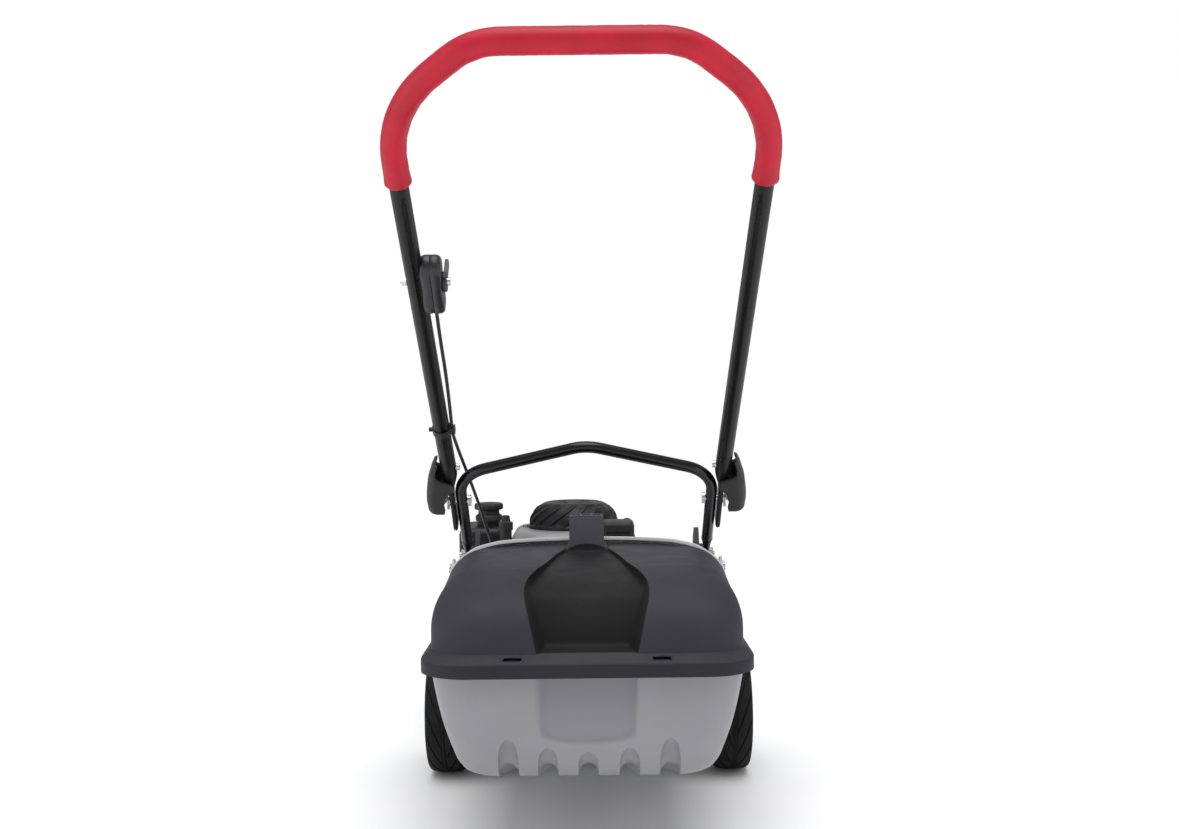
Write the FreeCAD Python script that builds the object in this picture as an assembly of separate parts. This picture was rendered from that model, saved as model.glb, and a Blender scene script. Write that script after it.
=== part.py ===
import FreeCAD, Part
import math
import os

# Walk-behind petrol rotary mower with a rear grass box. Millimetres.
# +Z up, +Y forward (direction of travel), +X to the right seen from behind.
# The origin is on the ground, under the rear axle and midway between the wheels.

V = FreeCAD.Vector
X_AXIS = V(1, 0, 0)
Y_AXIS = V(0, 1, 0)
Z_AXIS = V(0, 0, 1)
ORIGIN = V(0, 0, 0)

# Wheels and axles
REAR_WHEEL_R = 90
FRONT_WHEEL_R = 80
WHEEL_WIDTH = 52
WHEEL_X = 202
TYRE_HEIGHT = 24
AXLE_R = 6
AXLE_HALF = 216
RUNNING_GAP = 0.05

# Handle: both frames lie in one plane that leans back from the fold pivots
HANDLE_LEAN = 43
PIVOT_Y = -30
PIVOT_Z = 392
UPPER_TUBE_R = 11
GRIP_R = 14.5
TUBE_WALL = 1.5
LEG_FOOT_X = 189.6
LEG_FOOT_S = 62
LEG_TOP_X = 206
LEG_TOP_S = 658.6
BAR_CORNER_X = 110
BAR_S = 740
OUTER_BEND_R = 140
BAR_BEND_R = 80
GRIP_START_S = 565
LEG_FLAT = 7
LEG_FLAT_WIDTH = 24
LEG_END_S = -62
LOWER_TUBE_R = 8
LOWER_LEG_X = 176.8
LOWER_CORNER_S = 57
LOWER_CORNER_R = 55
LOWER_APEX_S = 116
LOWER_APEX_R = 60
LOWER_BOLT_S = -130
LOWER_FLAT_X = 177
LOWER_ROUND_S = -94
SEAT_GAP = 0.3
COLLAR = 0.4

# Cam levers: the pin lies across the outer end of each pivot bolt
PIVOT_BOLT_R = 4
CAM_PIN_X = 213
CAM_PIN_S = -4
CAM_PIN_R = 3
CAM_WASHER_X = (195.4, 197.2)
CAM_HALF = 16
CAM_WALL = 3.4

# Throttle control on the inner side of the left leg
CONTROL_S = 412
CONTROL_HALF = 41
CONTROL_X = (-192, -179.2, -167)
CONTROL_N = (-15, 15)
LEVER_X = (-166.6, -162)
LEVER_S = 416
SCREW_R = 2.5

# Throttle cable: along the leg to its clip, then free to the engine
CABLE_R = 2.3
CLIP_S = 152
CABLE_LEG = [(-179.2, 392, 0), (-179.2, 330, 0), (-176.4, 240, 1.5), (-178.4, 147.4, 0)]
CABLE_FREE = [(-178.4, 146, 0), (-175.8, 118, -2.4)]
CABLE_ENGINE = [(-165.5, -40, 425), (-153.5, 52, 361), (-146, 118, 312), (-142.2, 148.4, 291)]

# Deck and discharge tunnel
CRANK_X = -22
CRANK_Y = 255
DECK_R = 205
DECK_BOTTOM = 38
DECK_TOP = 165
DECK_WALL = 2.5
FRONT_BOX_HALF = 150
FRONT_BOX_Y = 485
TUNNEL_HALF = 160
TUNNEL_REAR = -92
TUNNEL_TOP = 322
TUNNEL_FLOOR = 104
BRACKET_X = (160, 167)

# Flap over the discharge mouth
FLAP_PIVOT_Y = -6
FLAP_PIVOT_Z = 292
FLAP_REAR = -110
FLAP_FRONT = -2
FLAP_WALL = 4
FLAP_HALF = 194
FLAP_TOP = 347
FLAP_FOOT = 276
FLAP_LIP_Z = 312
FLAP_LIP = 5
SPRING_TURNS = 5
SPRING_PITCH = 2.1
SPRING_R = 8.2
SPRING_WIRE_R = 0.8

# Grass box
BOX_FRONT = -100
LID_FRONT = -105
LID_REAR = -420
LID_RIM = (218, 235)
LID_RIM_HALF = 195
LID_DOME_Z = 244
LID_DOME_HALF = 184
LID_DOME_REAR = -409
LID_TOP = 331
LID_TOP_R = 65
LID_REAR_SWEEP = 110
BOX_WALL = 2.5
BOX_CORNER_R = 50
TONGUE_TOP = 379

# Outer arch of the flap from its side to the middle: (half width, height) at the rear edge,
# and how far each stretch between two points comes down towards the hinge
FLAP_ARCH = [
    (194, 292), (179, 314), (165, 325.5), (151, 334),
    (132, 339.5), (110, 343.2), (60, 346), (0, FLAP_TOP),
]
FLAP_FALL = [0, 2, 5, 9, 12, 14, 15]

# Height, half width and rear edge of the grass box body
BODY_LEVELS = [
    (88, 110, -345), (91, 124, -358), (97, 140, -370), (107, 151, -380),
    (124, 161, -388), (146, 169, -395), (168, 174.5, -399.5), (217.5, 184, -405),
]

# Engine
SHROUD_BOTTOM = 240
SHROUD_TOP = 325
SHROUD_HALF = 100
RECOIL_TOP = 367
SHAFT_R = 12.5
CYLINDER_START = 84
CYLINDER_LENGTH = 66
CYLINDER_Z = 204
TANK_X = (-206, -128)
TANK_Y = (196, 330)
TANK_Z = (252, 330)
TANK_WALL = 4
CAP_CENTRE = (-160, 245)
CAP_BASE = 346.3
OIL_X = -126
OIL_Y = 142
OIL_TOP = 332

LEAN = math.radians(HANDLE_LEAN)
BAR_Y = PIVOT_Y - BAR_S * math.cos(LEAN)
FRONT_AXLE_Y = GRIP_R - BAR_Y - FRONT_WHEEL_R


# ---------- helpers ----------

def block(x_range, y_range, z_range):
    """Box between two values on each axis."""
    ranges = (x_range, y_range, z_range)
    sizes = [high - low for low, high in ranges]
    return Part.makeBox(*sizes, V(x_range[0], y_range[0], z_range[0]))


def rod(start, end, radius):
    """Cylinder from one point to another."""
    start = V(*start)
    along = V(*end) - start
    return Part.makeCylinder(radius, along.Length, start, along)


def ring(start, end, outer, inner):
    """Hollow cylinder."""
    return rod(start, end, outer).cut(rod(start, end, inner))


def mirrored(shape):
    """The same piece on the other side of the machine."""
    return shape.mirror(ORIGIN, X_AXIS)


def both_sides(shape):
    """A piece and its mirror image as separate solids of one node."""
    return Part.makeCompound([shape, mirrored(shape)])


def fused(shapes):
    """One solid from several that touch or overlap."""
    result = shapes[0].multiFuse(shapes[1:])
    return result.removeSplitter()


def corner_arc(before, corner, after, radius):
    """Start, middle and end of the tangent arc that rounds a corner."""
    back = (before - corner).normalize()
    ahead = (after - corner).normalize()
    half = back.getAngle(ahead) / 2
    bisector = (back + ahead).normalize()
    reach = radius / math.tan(half)
    middle = corner + bisector * (radius / math.sin(half) - radius)
    return corner + back * reach, middle, corner + ahead * reach


def rounded_wire(points, radii, closed=False):
    """Straight runs joined by tangent arcs; a radius of 0 keeps the corner sharp."""
    points = [V(*point) for point in points]
    count = len(points)
    arcs = []
    for index, point in enumerate(points):
        end_point = not closed and index in (0, count - 1)
        if end_point or radii[index] == 0:
            arcs.append((point, None, point))
            continue
        before = points[index - 1]
        after = points[(index + 1) % count]
        arcs.append(corner_arc(before, point, after, radii[index]))
    edges = []
    for index, (start, middle, end) in enumerate(arcs):
        if middle is not None:
            edges.append(Part.Arc(start, middle, end).toShape())
        if index == count - 1 and not closed:
            break
        next_start = arcs[(index + 1) % count][0]
        if (next_start - end).Length > 0.001:
            edges.append(Part.LineSegment(end, next_start).toShape())
    return Part.Wire(edges)


def outline_radii(points, radius):
    """One radius for every corner, or a list given as it is."""
    if isinstance(radius, (list, tuple)):
        return radius
    return [radius] * len(points)


def side_plate(points, x_range, radius=0):
    """Outline of (y, z) points extruded across the machine."""
    corners = [(x_range[0], y, z) for y, z in points]
    wire = rounded_wire(corners, outline_radii(points, radius), closed=True)
    return Part.Face(wire).extrude(V(x_range[1] - x_range[0], 0, 0))


def cross_plate(points, y_range, radius=0):
    """Outline of (x, z) points extruded along the machine."""
    corners = [(x, y_range[0], z) for x, z in points]
    wire = rounded_wire(corners, outline_radii(points, radius), closed=True)
    return Part.Face(wire).extrude(V(0, y_range[1] - y_range[0], 0))


def level_plate(points, z_range, radius=0):
    """Outline of (x, y) points extruded upwards."""
    corners = [(x, y, z_range[0]) for x, y in points]
    wire = rounded_wire(corners, outline_radii(points, radius), closed=True)
    return Part.Face(wire).extrude(V(0, 0, z_range[1] - z_range[0]))


def rectangle(x_range, y_range):
    """Four corner points in order."""
    (x0, x1), (y0, y1) = x_range, y_range
    return [(x0, y0), (x1, y0), (x1, y1), (x0, y1)]


def spun(points, axis, centre=ORIGIN):
    """Solid of revolution; points are (along the axis, radius)."""
    side = Y_AXIS if axis == X_AXIS else X_AXIS
    corners = [centre + axis * along + side * radius for along, radius in points]
    wire = Part.makePolygon(corners + corners[:1])
    return Part.Face(wire).revolve(centre, axis, 360)


def hexagon(start, axis, across, height):
    """Hexagonal prism, such as a nut or a bolt head."""
    side = Z_AXIS if axis != Z_AXIS else X_AXIS
    radius = across / math.sqrt(3)
    turn = FreeCAD.Rotation(axis, 60)
    spoke = side * radius
    corners = []
    for _ in range(6):
        corners.append(V(*start) + spoke)
        spoke = turn.multVec(spoke)
    face = Part.Face(Part.makePolygon(corners + corners[:1]))
    return face.extrude(axis * height)


def swept(wire, radius):
    """Round bar along a path."""
    first = wire.OrderedEdges[0]
    start = first.valueAt(first.FirstParameter)
    tangent = first.tangentAt(first.FirstParameter)
    profile = Part.Wire(Part.makeCircle(radius, start, tangent))
    return wire.makePipeShell([profile], True, False)


def oval_wire(centre, half_x, half_z, power):
    """Closed superellipse across the local Y axis."""
    points = []
    steps = 24
    for step in range(steps):
        angle = 2 * math.pi * step / steps
        across = math.cos(angle)
        up = math.sin(angle)
        x = math.copysign(abs(across) ** (2 / power), across) * half_x
        z = math.copysign(abs(up) ** (2 / power), up) * half_z
        points.append(V(*centre) + V(x, 0, z))
    curve = Part.BSplineCurve()
    curve.interpolate(Points=points, PeriodicFlag=True)
    return Part.Wire(curve.toShape())


def on_handle(shape):
    """Place a piece drawn as (x, s along the legs, n below their plane)."""
    shape = shape.copy()
    shape.rotate(ORIGIN, X_AXIS, 180 - HANDLE_LEAN)
    shape.translate(V(0, PIVOT_Y, PIVOT_Z))
    return shape


def handle_point(x, s, n):
    """World point of handle coordinates."""
    turn = FreeCAD.Rotation(X_AXIS, 180 - HANDLE_LEAN)
    return V(0, PIVOT_Y, PIVOT_Z) + turn.multVec(V(x, s, n))


# ---------- wheels and axles ----------

def tyre(radius):
    """Ring of rubber, centred on the origin with its axis along X."""
    half = WHEEL_WIDTH / 2
    seat = radius - TYRE_HEIGHT
    shoulder = [(half, radius - 9), (half - 5, radius - 2), (half - 14, radius)]
    profile = [(half - 3, seat), (half, seat + 4)] + shoulder
    profile += [(-along, height) for along, height in reversed(profile)]
    return spun(profile, X_AXIS)


def rim(radius):
    """Moulded wheel with a web, windows, ribs and a hub."""
    seat = radius - TYRE_HEIGHT
    barrel = ring((-22, 0, 0), (22, 0, 0), seat, seat - 4)
    bore = AXLE_R + RUNNING_GAP
    web = ring((2, 0, 0), (8, 0, 0), seat - 4, bore)
    hub = ring((-24, 0, 0), (8, 0, 0), 15, bore)
    windows = []
    ribs = []
    window_ring = (seat - 4 + 15) / 2
    for index in range(6):
        window = rod((1, window_ring, 0), (9, window_ring, 0), 9)
        window.rotate(ORIGIN, X_AXIS, 60 * index)
        windows.append(window)
        rib = block((-18, 2.5), (14, seat - 3), (-1.5, 1.5))
        rib.rotate(ORIGIN, X_AXIS, 60 * index + 30)
        ribs.append(rib)
    body = fused([barrel, web, hub] + ribs)
    return body.cut(Part.makeCompound(windows))


def hub_cap():
    """Domed cup over the axle end."""
    profile = [(8, 24), (20, 24), (24, 20), (25.5, 10), (25.5, 0)]
    hollow = [(23.5, 0), (23.5, 9), (22.3, 18.5), (19, 22), (8, 22)]
    return spun(profile + hollow, X_AXIS)


def wheel_nodes(name, side, axle_y, radius):
    """The three nodes of one wheel in place; side is +1 for the right."""
    pieces = {"tyre": tyre(radius), "rim": rim(radius), "hub_cap": hub_cap()}
    nodes = {}
    for piece_name, piece in pieces.items():
        piece.translate(V(WHEEL_X, axle_y, radius))
        nodes[f"{name}_{piece_name}"] = piece if side > 0 else mirrored(piece)
    return nodes


def axle(axle_y, height):
    """Steel rod across the machine with chamfered ends."""
    body = rod((-AXLE_HALF, axle_y, height), (AXLE_HALF, axle_y, height), AXLE_R)
    ends = [edge for edge in body.Edges if edge.Curve.TypeId == "Part::GeomCircle"]
    return body.makeChamfer(1, ends)


def axle_clips():
    """Push-on retaining rings outside the four hubs."""
    clips = []
    for axle_y, height in ((0, REAR_WHEEL_R), (FRONT_AXLE_Y, FRONT_WHEEL_R)):
        start = (WHEEL_X + 8.4, axle_y, height)
        end = (WHEEL_X + 10.4, axle_y, height)
        clip = ring(start, end, 10.5, AXLE_R)
        clips += [clip, mirrored(clip)]
    return Part.makeCompound(clips)


# ---------- deck, tunnel and brackets ----------

def deck_dish(inset):
    """Cutting chamber with a rounded top edge."""
    centre = V(CRANK_X, CRANK_Y, DECK_BOTTOM - inset)
    dish = Part.makeCylinder(DECK_R - inset, DECK_TOP - DECK_BOTTOM, centre)
    top = [edge for edge in dish.Edges if edge.BoundBox.ZMin > DECK_TOP - inset - 1]
    return dish.makeFillet(22 - inset, top)


def deck_front(inset):
    """Front corners of the deck that reach out to the front axle."""
    half = FRONT_BOX_HALF - inset
    plan = rectangle((-half, half), (CRANK_Y, FRONT_BOX_Y - inset))
    corner = 45 - inset
    body = level_plate(plan, (60 - inset, 158 - inset), [0, 0, corner, corner])
    upper = [edge for edge in body.Edges if edge.BoundBox.ZMin > 157 - inset]
    top = [edge for edge in upper if edge.BoundBox.YMax > CRANK_Y + 1]
    return body.makeFillet(14 - inset, top)


def tunnel(inset, front, rear):
    """Discharge duct that rises from the cutting chamber to the grass box."""
    floor = TUNNEL_FLOOR + inset
    top = TUNNEL_TOP - inset
    side = [(rear, floor), (front, floor), (front, 160 - inset), (60 - inset, 230 - inset)]
    side += [(-16, top), (rear, top)]
    half = TUNNEL_HALF - inset
    radii = [12, 12, 48 - inset, 48 - inset]
    arch = cross_plate(rectangle((-half, half), (floor, top)), (rear, front), radii)
    return side_plate(side, (-half, half)).common(arch)


def deck():
    """Pressed steel deck: chamber, front corners and discharge tunnel in one shell."""
    dish = deck_dish(0)
    outer = fused([dish, deck_front(0), tunnel(0, 150, TUNNEL_REAR)])
    shell = outer.cut(deck_dish(DECK_WALL))
    shell = shell.cut(deck_front(DECK_WALL).cut(dish))
    shell = shell.cut(tunnel(DECK_WALL, 148, TUNNEL_REAR - 1))
    shell = shell.cut(rod((CRANK_X, CRANK_Y, 150), (CRANK_X, CRANK_Y, 170), 32))
    bracket = front_axle_bracket()
    return fused([shell, bracket, mirrored(bracket)])


def handle_bracket():
    """Side bracket that carries the rear axle and the foot of the lower handle."""
    outline = [(-84, 66), (50, 66), (84, 130), (96, 200), (96, 322), (72, 342), (48, 302)]
    outline += [(-30, 298), (-84, 210)]
    radii = [12, 20, 20, 20, 6, 4, 10, 14, 20]
    plate = side_plate(outline, BRACKET_X, radii)
    foot = handle_point(0, LOWER_BOLT_S, 0)
    boss = rod((BRACKET_X[1], foot.y, foot.z), (LOWER_FLAT_X - 4 - SEAT_GAP, foot.y, foot.z), 13)
    stiffener = side_plate([(-70, 196), (80, 206), (80, 212), (-70, 202)], (BRACKET_X[1], 171), 0)
    body = fused([plate, boss, stiffener])
    body = body.cut(rod((150, foot.y, foot.z), (190, foot.y, foot.z), 4))
    body = body.cut(rod((150, 0, REAR_WHEEL_R), (180, 0, REAR_WHEEL_R), AXLE_R))
    body = body.cut(rod((150, FLAP_PIVOT_Y, FLAP_PIVOT_Z), (180, FLAP_PIVOT_Y, FLAP_PIVOT_Z), 4))
    return body


def front_axle_bracket():
    """Plate on the side of the deck front that holds the front axle."""
    outline = [(430, 66), (FRONT_AXLE_Y + 18, 60), (FRONT_AXLE_Y + 20, 98), (470, 140), (430, 140)]
    x_range = (FRONT_BOX_HALF, FRONT_BOX_HALF + 5)
    plate = side_plate(outline, x_range, [6, 14, 16, 20, 6])
    hole = rod((140, FRONT_AXLE_Y, FRONT_WHEEL_R), (160, FRONT_AXLE_Y, FRONT_WHEEL_R), AXLE_R)
    spare = rod((140, 458, 104), (160, 458, 104), AXLE_R)
    return plate.cut(hole).cut(spare)


def bracket_bolts():
    """Hexagon screws that hold the brackets to the tunnel and to the deck front."""
    bolts = []
    for y, z in ((-60, 130), (60, 126), (-60, 180), (40, 186)):
        bolts.append(hexagon((BRACKET_X[1], y, z), X_AXIS, 10, 4))
    bolts.append(hexagon((FRONT_BOX_HALF + 5, 445, 84), X_AXIS, 10, 4))
    bolts.append(hexagon((FRONT_BOX_HALF + 5, 445, 126), X_AXIS, 10, 4))
    group = Part.makeCompound(bolts)
    return bolts + mirrored(group).Solids


# ---------- handle ----------

def lower_leg_foot():
    """Flattened foot of the lower tube, from its round end to the bolt."""
    sections = [
        oval_wire((LOWER_LEG_X, LOWER_ROUND_S, 0), LOWER_TUBE_R + COLLAR, LOWER_TUBE_R + COLLAR, 2),
        oval_wire((LOWER_FLAT_X, LOWER_BOLT_S + 14, 0), 4, 11, 4),
        oval_wire((LOWER_FLAT_X, LOWER_BOLT_S - 12, 0), 4, 11, 4),
    ]
    return Part.makeLoft(sections, True, True)


def lower_handle():
    """Bent tube with a peaked crossbar and two flattened feet."""
    leg = (LOWER_LEG_X, LOWER_ROUND_S - 2, 0)
    corner = (LOWER_LEG_X, LOWER_CORNER_S, 0)
    apex = (0, LOWER_APEX_S, 0)
    points = [leg, corner, apex, (-corner[0], corner[1], 0), (-leg[0], leg[1], 0)]
    path = rounded_wire(points, [0, LOWER_CORNER_R, LOWER_APEX_R, LOWER_CORNER_R, 0])
    tube = swept(path, LOWER_TUBE_R)
    foot = lower_leg_foot()
    body = fused([tube, foot, mirrored(foot)])
    body = body.cut(swept(path, LOWER_TUBE_R - TUBE_WALL))
    for s, radius in ((0, PIVOT_BOLT_R + RUNNING_GAP), (LOWER_BOLT_S, PIVOT_BOLT_R)):
        body = body.cut(rod((-200, s, 0), (200, s, 0), radius))
    return on_handle(body)


def lower_bolts():
    """Carriage bolts and nuts at the feet of the lower handle."""
    foot = handle_point(0, LOWER_BOLT_S, 0)
    shank = rod((BRACKET_X[0] - 3, foot.y, foot.z), (LOWER_FLAT_X + 13, foot.y, foot.z), 4)
    head = rod((BRACKET_X[0] - 3, foot.y, foot.z), (BRACKET_X[0], foot.y, foot.z), 9)
    nut = hexagon((LOWER_FLAT_X + 4 + SEAT_GAP, foot.y, foot.z), X_AXIS, 13, 6.5)
    bolt = fused([shank, head, nut])
    return [bolt, mirrored(bolt)]


def upper_path():
    """Centre line of the upper tube from one leg over the top bar to the other."""
    points = [(LEG_FOOT_X, LEG_FOOT_S - 2, 0), (LEG_TOP_X, LEG_TOP_S, 0), (BAR_CORNER_X, BAR_S, 0)]
    points += [(-x, s, n) for x, s, n in reversed(points)]
    return points, [0, OUTER_BEND_R, BAR_BEND_R, BAR_BEND_R, OUTER_BEND_R, 0]


def upper_leg_foot():
    """Flattened end of the upper leg, from its round end past the pivot."""
    flat = LEG_FLAT / 2
    wide = LEG_FLAT_WIDTH / 2
    sections = [
        oval_wire((LEG_FOOT_X, LEG_FOOT_S, 0), UPPER_TUBE_R + COLLAR, UPPER_TUBE_R + COLLAR, 2),
        oval_wire((LEG_FOOT_X, 28, 0), flat, wide, 5),
        oval_wire((LEG_FOOT_X, LEG_END_S + 5, 0), flat, wide, 5),
        oval_wire((LEG_FOOT_X, LEG_END_S, 0), flat - 1.5, wide - 5, 5),
    ]
    return Part.makeLoft(sections, True, True)


def leg_x(s):
    """Half spacing of the upper legs at a height along them."""
    share = (s - LEG_FOOT_S) / (LEG_TOP_S - LEG_FOOT_S)
    return LEG_FOOT_X + (LEG_TOP_X - LEG_FOOT_X) * share


def upper_handle_tube():
    """Upper frame: two straight legs, wide bends and the top bar."""
    points, radii = upper_path()
    path = rounded_wire(points, radii)
    foot = upper_leg_foot()
    body = fused([swept(path, UPPER_TUBE_R), foot, mirrored(foot)])
    body = body.cut(swept(path, UPPER_TUBE_R - TUBE_WALL))
    body = body.cut(rod((-210, 0, 0), (210, 0, 0), PIVOT_BOLT_R))
    return on_handle(body)


def grip_foam():
    """Foam sleeve over the top bar and both bends."""
    points, radii = upper_path()
    end = (leg_x(GRIP_START_S), GRIP_START_S, 0)
    points[0] = end
    points[-1] = (-end[0], end[1], 0)
    path = rounded_wire(points, radii)
    return on_handle(swept(path, GRIP_R).cut(swept(path, UPPER_TUBE_R)))


def leg_plugs():
    """Round screw heads on the inner side of the legs, just above the levers."""
    s = 74
    inner = leg_x(s) - UPPER_TUBE_R + 0.4
    head = rod((inner, s, 0), (inner - 5, s, 0), 5)
    hole = Part.makeCylinder(UPPER_TUBE_R + SEAT_GAP, 40, V(leg_x(s), s - 20, 0), Y_AXIS)
    head = head.cut(hole)
    return [head, mirrored(head)]


def cam_bolt():
    """Pivot bolt with an inner head and an eye for the lever pin."""
    inner = LOWER_LEG_X - LOWER_TUBE_R
    shank = rod((inner - 4, 0, 0), (CAM_PIN_X - 5, 0, 0), PIVOT_BOLT_R)
    head = rod((inner - 5, 0, 0), (inner - 0.4, 0, 0), 8)
    eye = rod((CAM_PIN_X, CAM_PIN_S, -4), (CAM_PIN_X, CAM_PIN_S, 4), 6.5)
    neck = block((CAM_PIN_X - 12, CAM_PIN_X), (CAM_PIN_S, 4), (-4, 4))
    pin_hole = rod((CAM_PIN_X, CAM_PIN_S, -5), (CAM_PIN_X, CAM_PIN_S, 5), CAM_PIN_R)
    return fused([shank, head, eye, neck]).cut(pin_hole)


def cam_bolts():
    """Pivot bolts, each with a spacer and a washer between its leg and its lever."""
    leg_face = LEG_FOOT_X + LEG_FLAT / 2 + SEAT_GAP
    spacer = ring((leg_face, 0, 0), (CAM_WASHER_X[0], 0, 0), 8, PIVOT_BOLT_R)
    washer = ring((CAM_WASHER_X[0], 0, 0), (CAM_WASHER_X[1], 0, 0), 13.5, PIVOT_BOLT_R)
    pieces = [cam_bolt(), spacer, washer]
    return on_handle(Part.makeCompound(pieces + [mirrored(piece) for piece in pieces]))


def cam_pins():
    """Cross pins of the two levers."""
    half = CAM_HALF - 0.5
    pin = rod((CAM_PIN_X, CAM_PIN_S, -half), (CAM_PIN_X, CAM_PIN_S, half), CAM_PIN_R)
    return on_handle(both_sides(pin))


def cam_outline(inset):
    """Outer edge of a lever in (x, s), from its rounded foot to its tip."""
    edge = [(212, -17), (219, -11), (221.5, 4), (221, 25), (218, 45), (212, 66), (206, 86)]
    return [(x - inset, s) for x, s in edge]


def cam_lever():
    """Curved channel that wraps the leg, solid at the cam end."""
    inner_edge = [(202.4, 85), (205, 68), (199, 57), (183, 50), (183, 45), (196, 28), (201, 8), (199.5, -6)]
    outline = [(x, s, -CAM_HALF) for x, s in cam_outline(0) + inner_edge]
    wire = rounded_wire(outline, [6, 5, 8, 20, 30, 30, 1, 1, 10, 4, 1, 1, 8, 10, 4], closed=True)
    body = Part.Face(wire).extrude(V(0, 0, 2 * CAM_HALF))
    half = CAM_HALF - CAM_WALL
    channel = [(x, s) for x, s in cam_outline(CAM_WALL) if s > 20]
    channel += [(170, 110), (170, 25)]
    channel_wire = Part.makePolygon([V(x, s, -half) for x, s in channel + channel[:1]])
    body = body.cut(Part.Face(channel_wire).extrude(V(0, 0, 2 * half)))
    slot = block((190, CAM_PIN_X + 7.2), (-30, CAM_PIN_S + 9), (-4.4, 4.4))
    pin_hole = rod((CAM_PIN_X, CAM_PIN_S, -20), (CAM_PIN_X, CAM_PIN_S, 20), CAM_PIN_R + RUNNING_GAP)
    return on_handle(body.cut(slot).cut(pin_hole))


def control_plate(x_range):
    """Rounded slab of the throttle housing."""
    low = CONTROL_S - CONTROL_HALF
    high = CONTROL_S + CONTROL_HALF
    points = [(low, CONTROL_N[0] + 4), (low, CONTROL_N[1]), (high, CONTROL_N[1]), (high, CONTROL_N[0])]
    corners = [(x_range[0], s, n) for s, n in points]
    wire = rounded_wire(corners, [6, 10, 14, 12], closed=True)
    return Part.Face(wire).extrude(V(x_range[1] - x_range[0], 0, 0))


def control_leg_cutter():
    """Space for the leg that the housing clasps."""
    low = V(-leg_x(CONTROL_S - 60), CONTROL_S - 60, 0)
    high = V(-leg_x(CONTROL_S + 60), CONTROL_S + 60, 0)
    return Part.makeCylinder(UPPER_TUBE_R, (high - low).Length, low, high - low)


def control_bolt(radius):
    """Shaft space of the bolt through housing and leg."""
    return rod((-220, LEVER_S, 0), (-150, LEVER_S, 0), radius)


def throttle_housing(inner):
    """One half of the control housing."""
    x_range = (CONTROL_X[1], CONTROL_X[2]) if inner else (CONTROL_X[0], CONTROL_X[1])
    body = control_plate(x_range).cut(control_leg_cutter()).cut(control_bolt(SCREW_R))
    cable_hole = rod((-179.2, 360, 0), (-179.2, CONTROL_S - 20, 0), CABLE_R)
    notch = block((-186, -172), (CONTROL_S - CONTROL_HALF - 1, CONTROL_S - 33), (5, 20))
    return on_handle(body.cut(cable_hole).cut(notch))


def throttle_lever():
    """Round hub with a paddle on the upper side of the handle."""
    hub = rod((LEVER_X[0], LEVER_S, 0), (LEVER_X[1], LEVER_S, 0), 16)
    arm = block(LEVER_X, (LEVER_S - 6, LEVER_S + 6), (-34, 0))
    paddle = block((-174, LEVER_X[1]), (LEVER_S - 8, LEVER_S + 8), (-46, -34))
    upright = [edge for edge in paddle.Edges if edge.BoundBox.XLength > 5]
    paddle = paddle.makeFillet(4, upright)
    body = fused([hub, arm, paddle])
    return on_handle(body.cut(rod((-180, LEVER_S, 0), (-150, LEVER_S, 0), SCREW_R + RUNNING_GAP)))


def handle_fixings():
    """Screw heads on the legs, and the bolt through lever, housing and leg."""
    outer = -leg_x(LEVER_S) - UPPER_TUBE_R
    shank = rod((outer - 7, LEVER_S, 0), (-160, LEVER_S, 0), SCREW_R)
    head = rod((-161.8, LEVER_S, 0), (-158.5, LEVER_S, 0), 5)
    nut = hexagon((outer - 5, LEVER_S, 0), X_AXIS, 8, 4.6)
    return on_handle(Part.makeCompound([fused([shank, head, nut])] + leg_plugs()))


def throttled_tube(tube):
    """The upper tube with the hole for the control's bolt."""
    return tube.cut(on_handle(control_bolt(SCREW_R)))


def cord_route(name, points):
    """Cable solid with arcs as large as its runs allow; prints the radii."""
    radii = [0]
    for before, point, after in zip(points, points[1:], points[2:]):
        back = before - point
        ahead = after - point
        half_turn = (math.pi - back.getAngle(ahead)) / 2
        radii.append(0.45 * min(back.Length, ahead.Length) / math.tan(half_turn))
    radii.append(0)
    wire = rounded_wire([tuple(point) for point in points], radii)
    body = swept(wire, CABLE_R)
    expected = math.pi * CABLE_R ** 2 * wire.Length
    print(name, "radii", [round(radius) for radius in radii[1:-1]],
          "length", round(wire.Length), "volume ratio", round(body.Volume / expected, 4))
    return body


def throttle_cable_upper():
    """Cable from the housing down the leg to the clip."""
    return cord_route("throttle_cable_upper", [handle_point(*point) for point in CABLE_LEG])


def throttle_cable_lower():
    """Free cable from the clip to the clamp on the engine."""
    points = [handle_point(*point) for point in CABLE_FREE]
    points += [V(*point) for point in CABLE_ENGINE]
    return cord_route("throttle_cable_lower", points)


def cable_clip():
    """Clamp band round the leg that holds the cable, with its outer stub."""
    s = CLIP_S
    x = -leg_x(s)
    band = ring((x, s - 5, 0), (x, s + 5, 0), UPPER_TUBE_R + 1.6, UPPER_TUBE_R + 0.3)
    saddle = block((-181.4, -174), (s - 5, s + 5), (-4.5, 4.5))
    stub = rod((x - UPPER_TUBE_R - 1, s, 0), (x - UPPER_TUBE_R - 6, s, 0), 3)
    leg = rod((x, s - 20, 0), (x, s + 20, 0), UPPER_TUBE_R + 0.3)
    cable = swept(rounded_wire(CABLE_LEG, [0, 0, 0, 0]), CABLE_R + 0.2)
    return on_handle(fused([band, saddle.cut(leg), stub]).cut(cable))


# ---------- flap and grass box ----------

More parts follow.
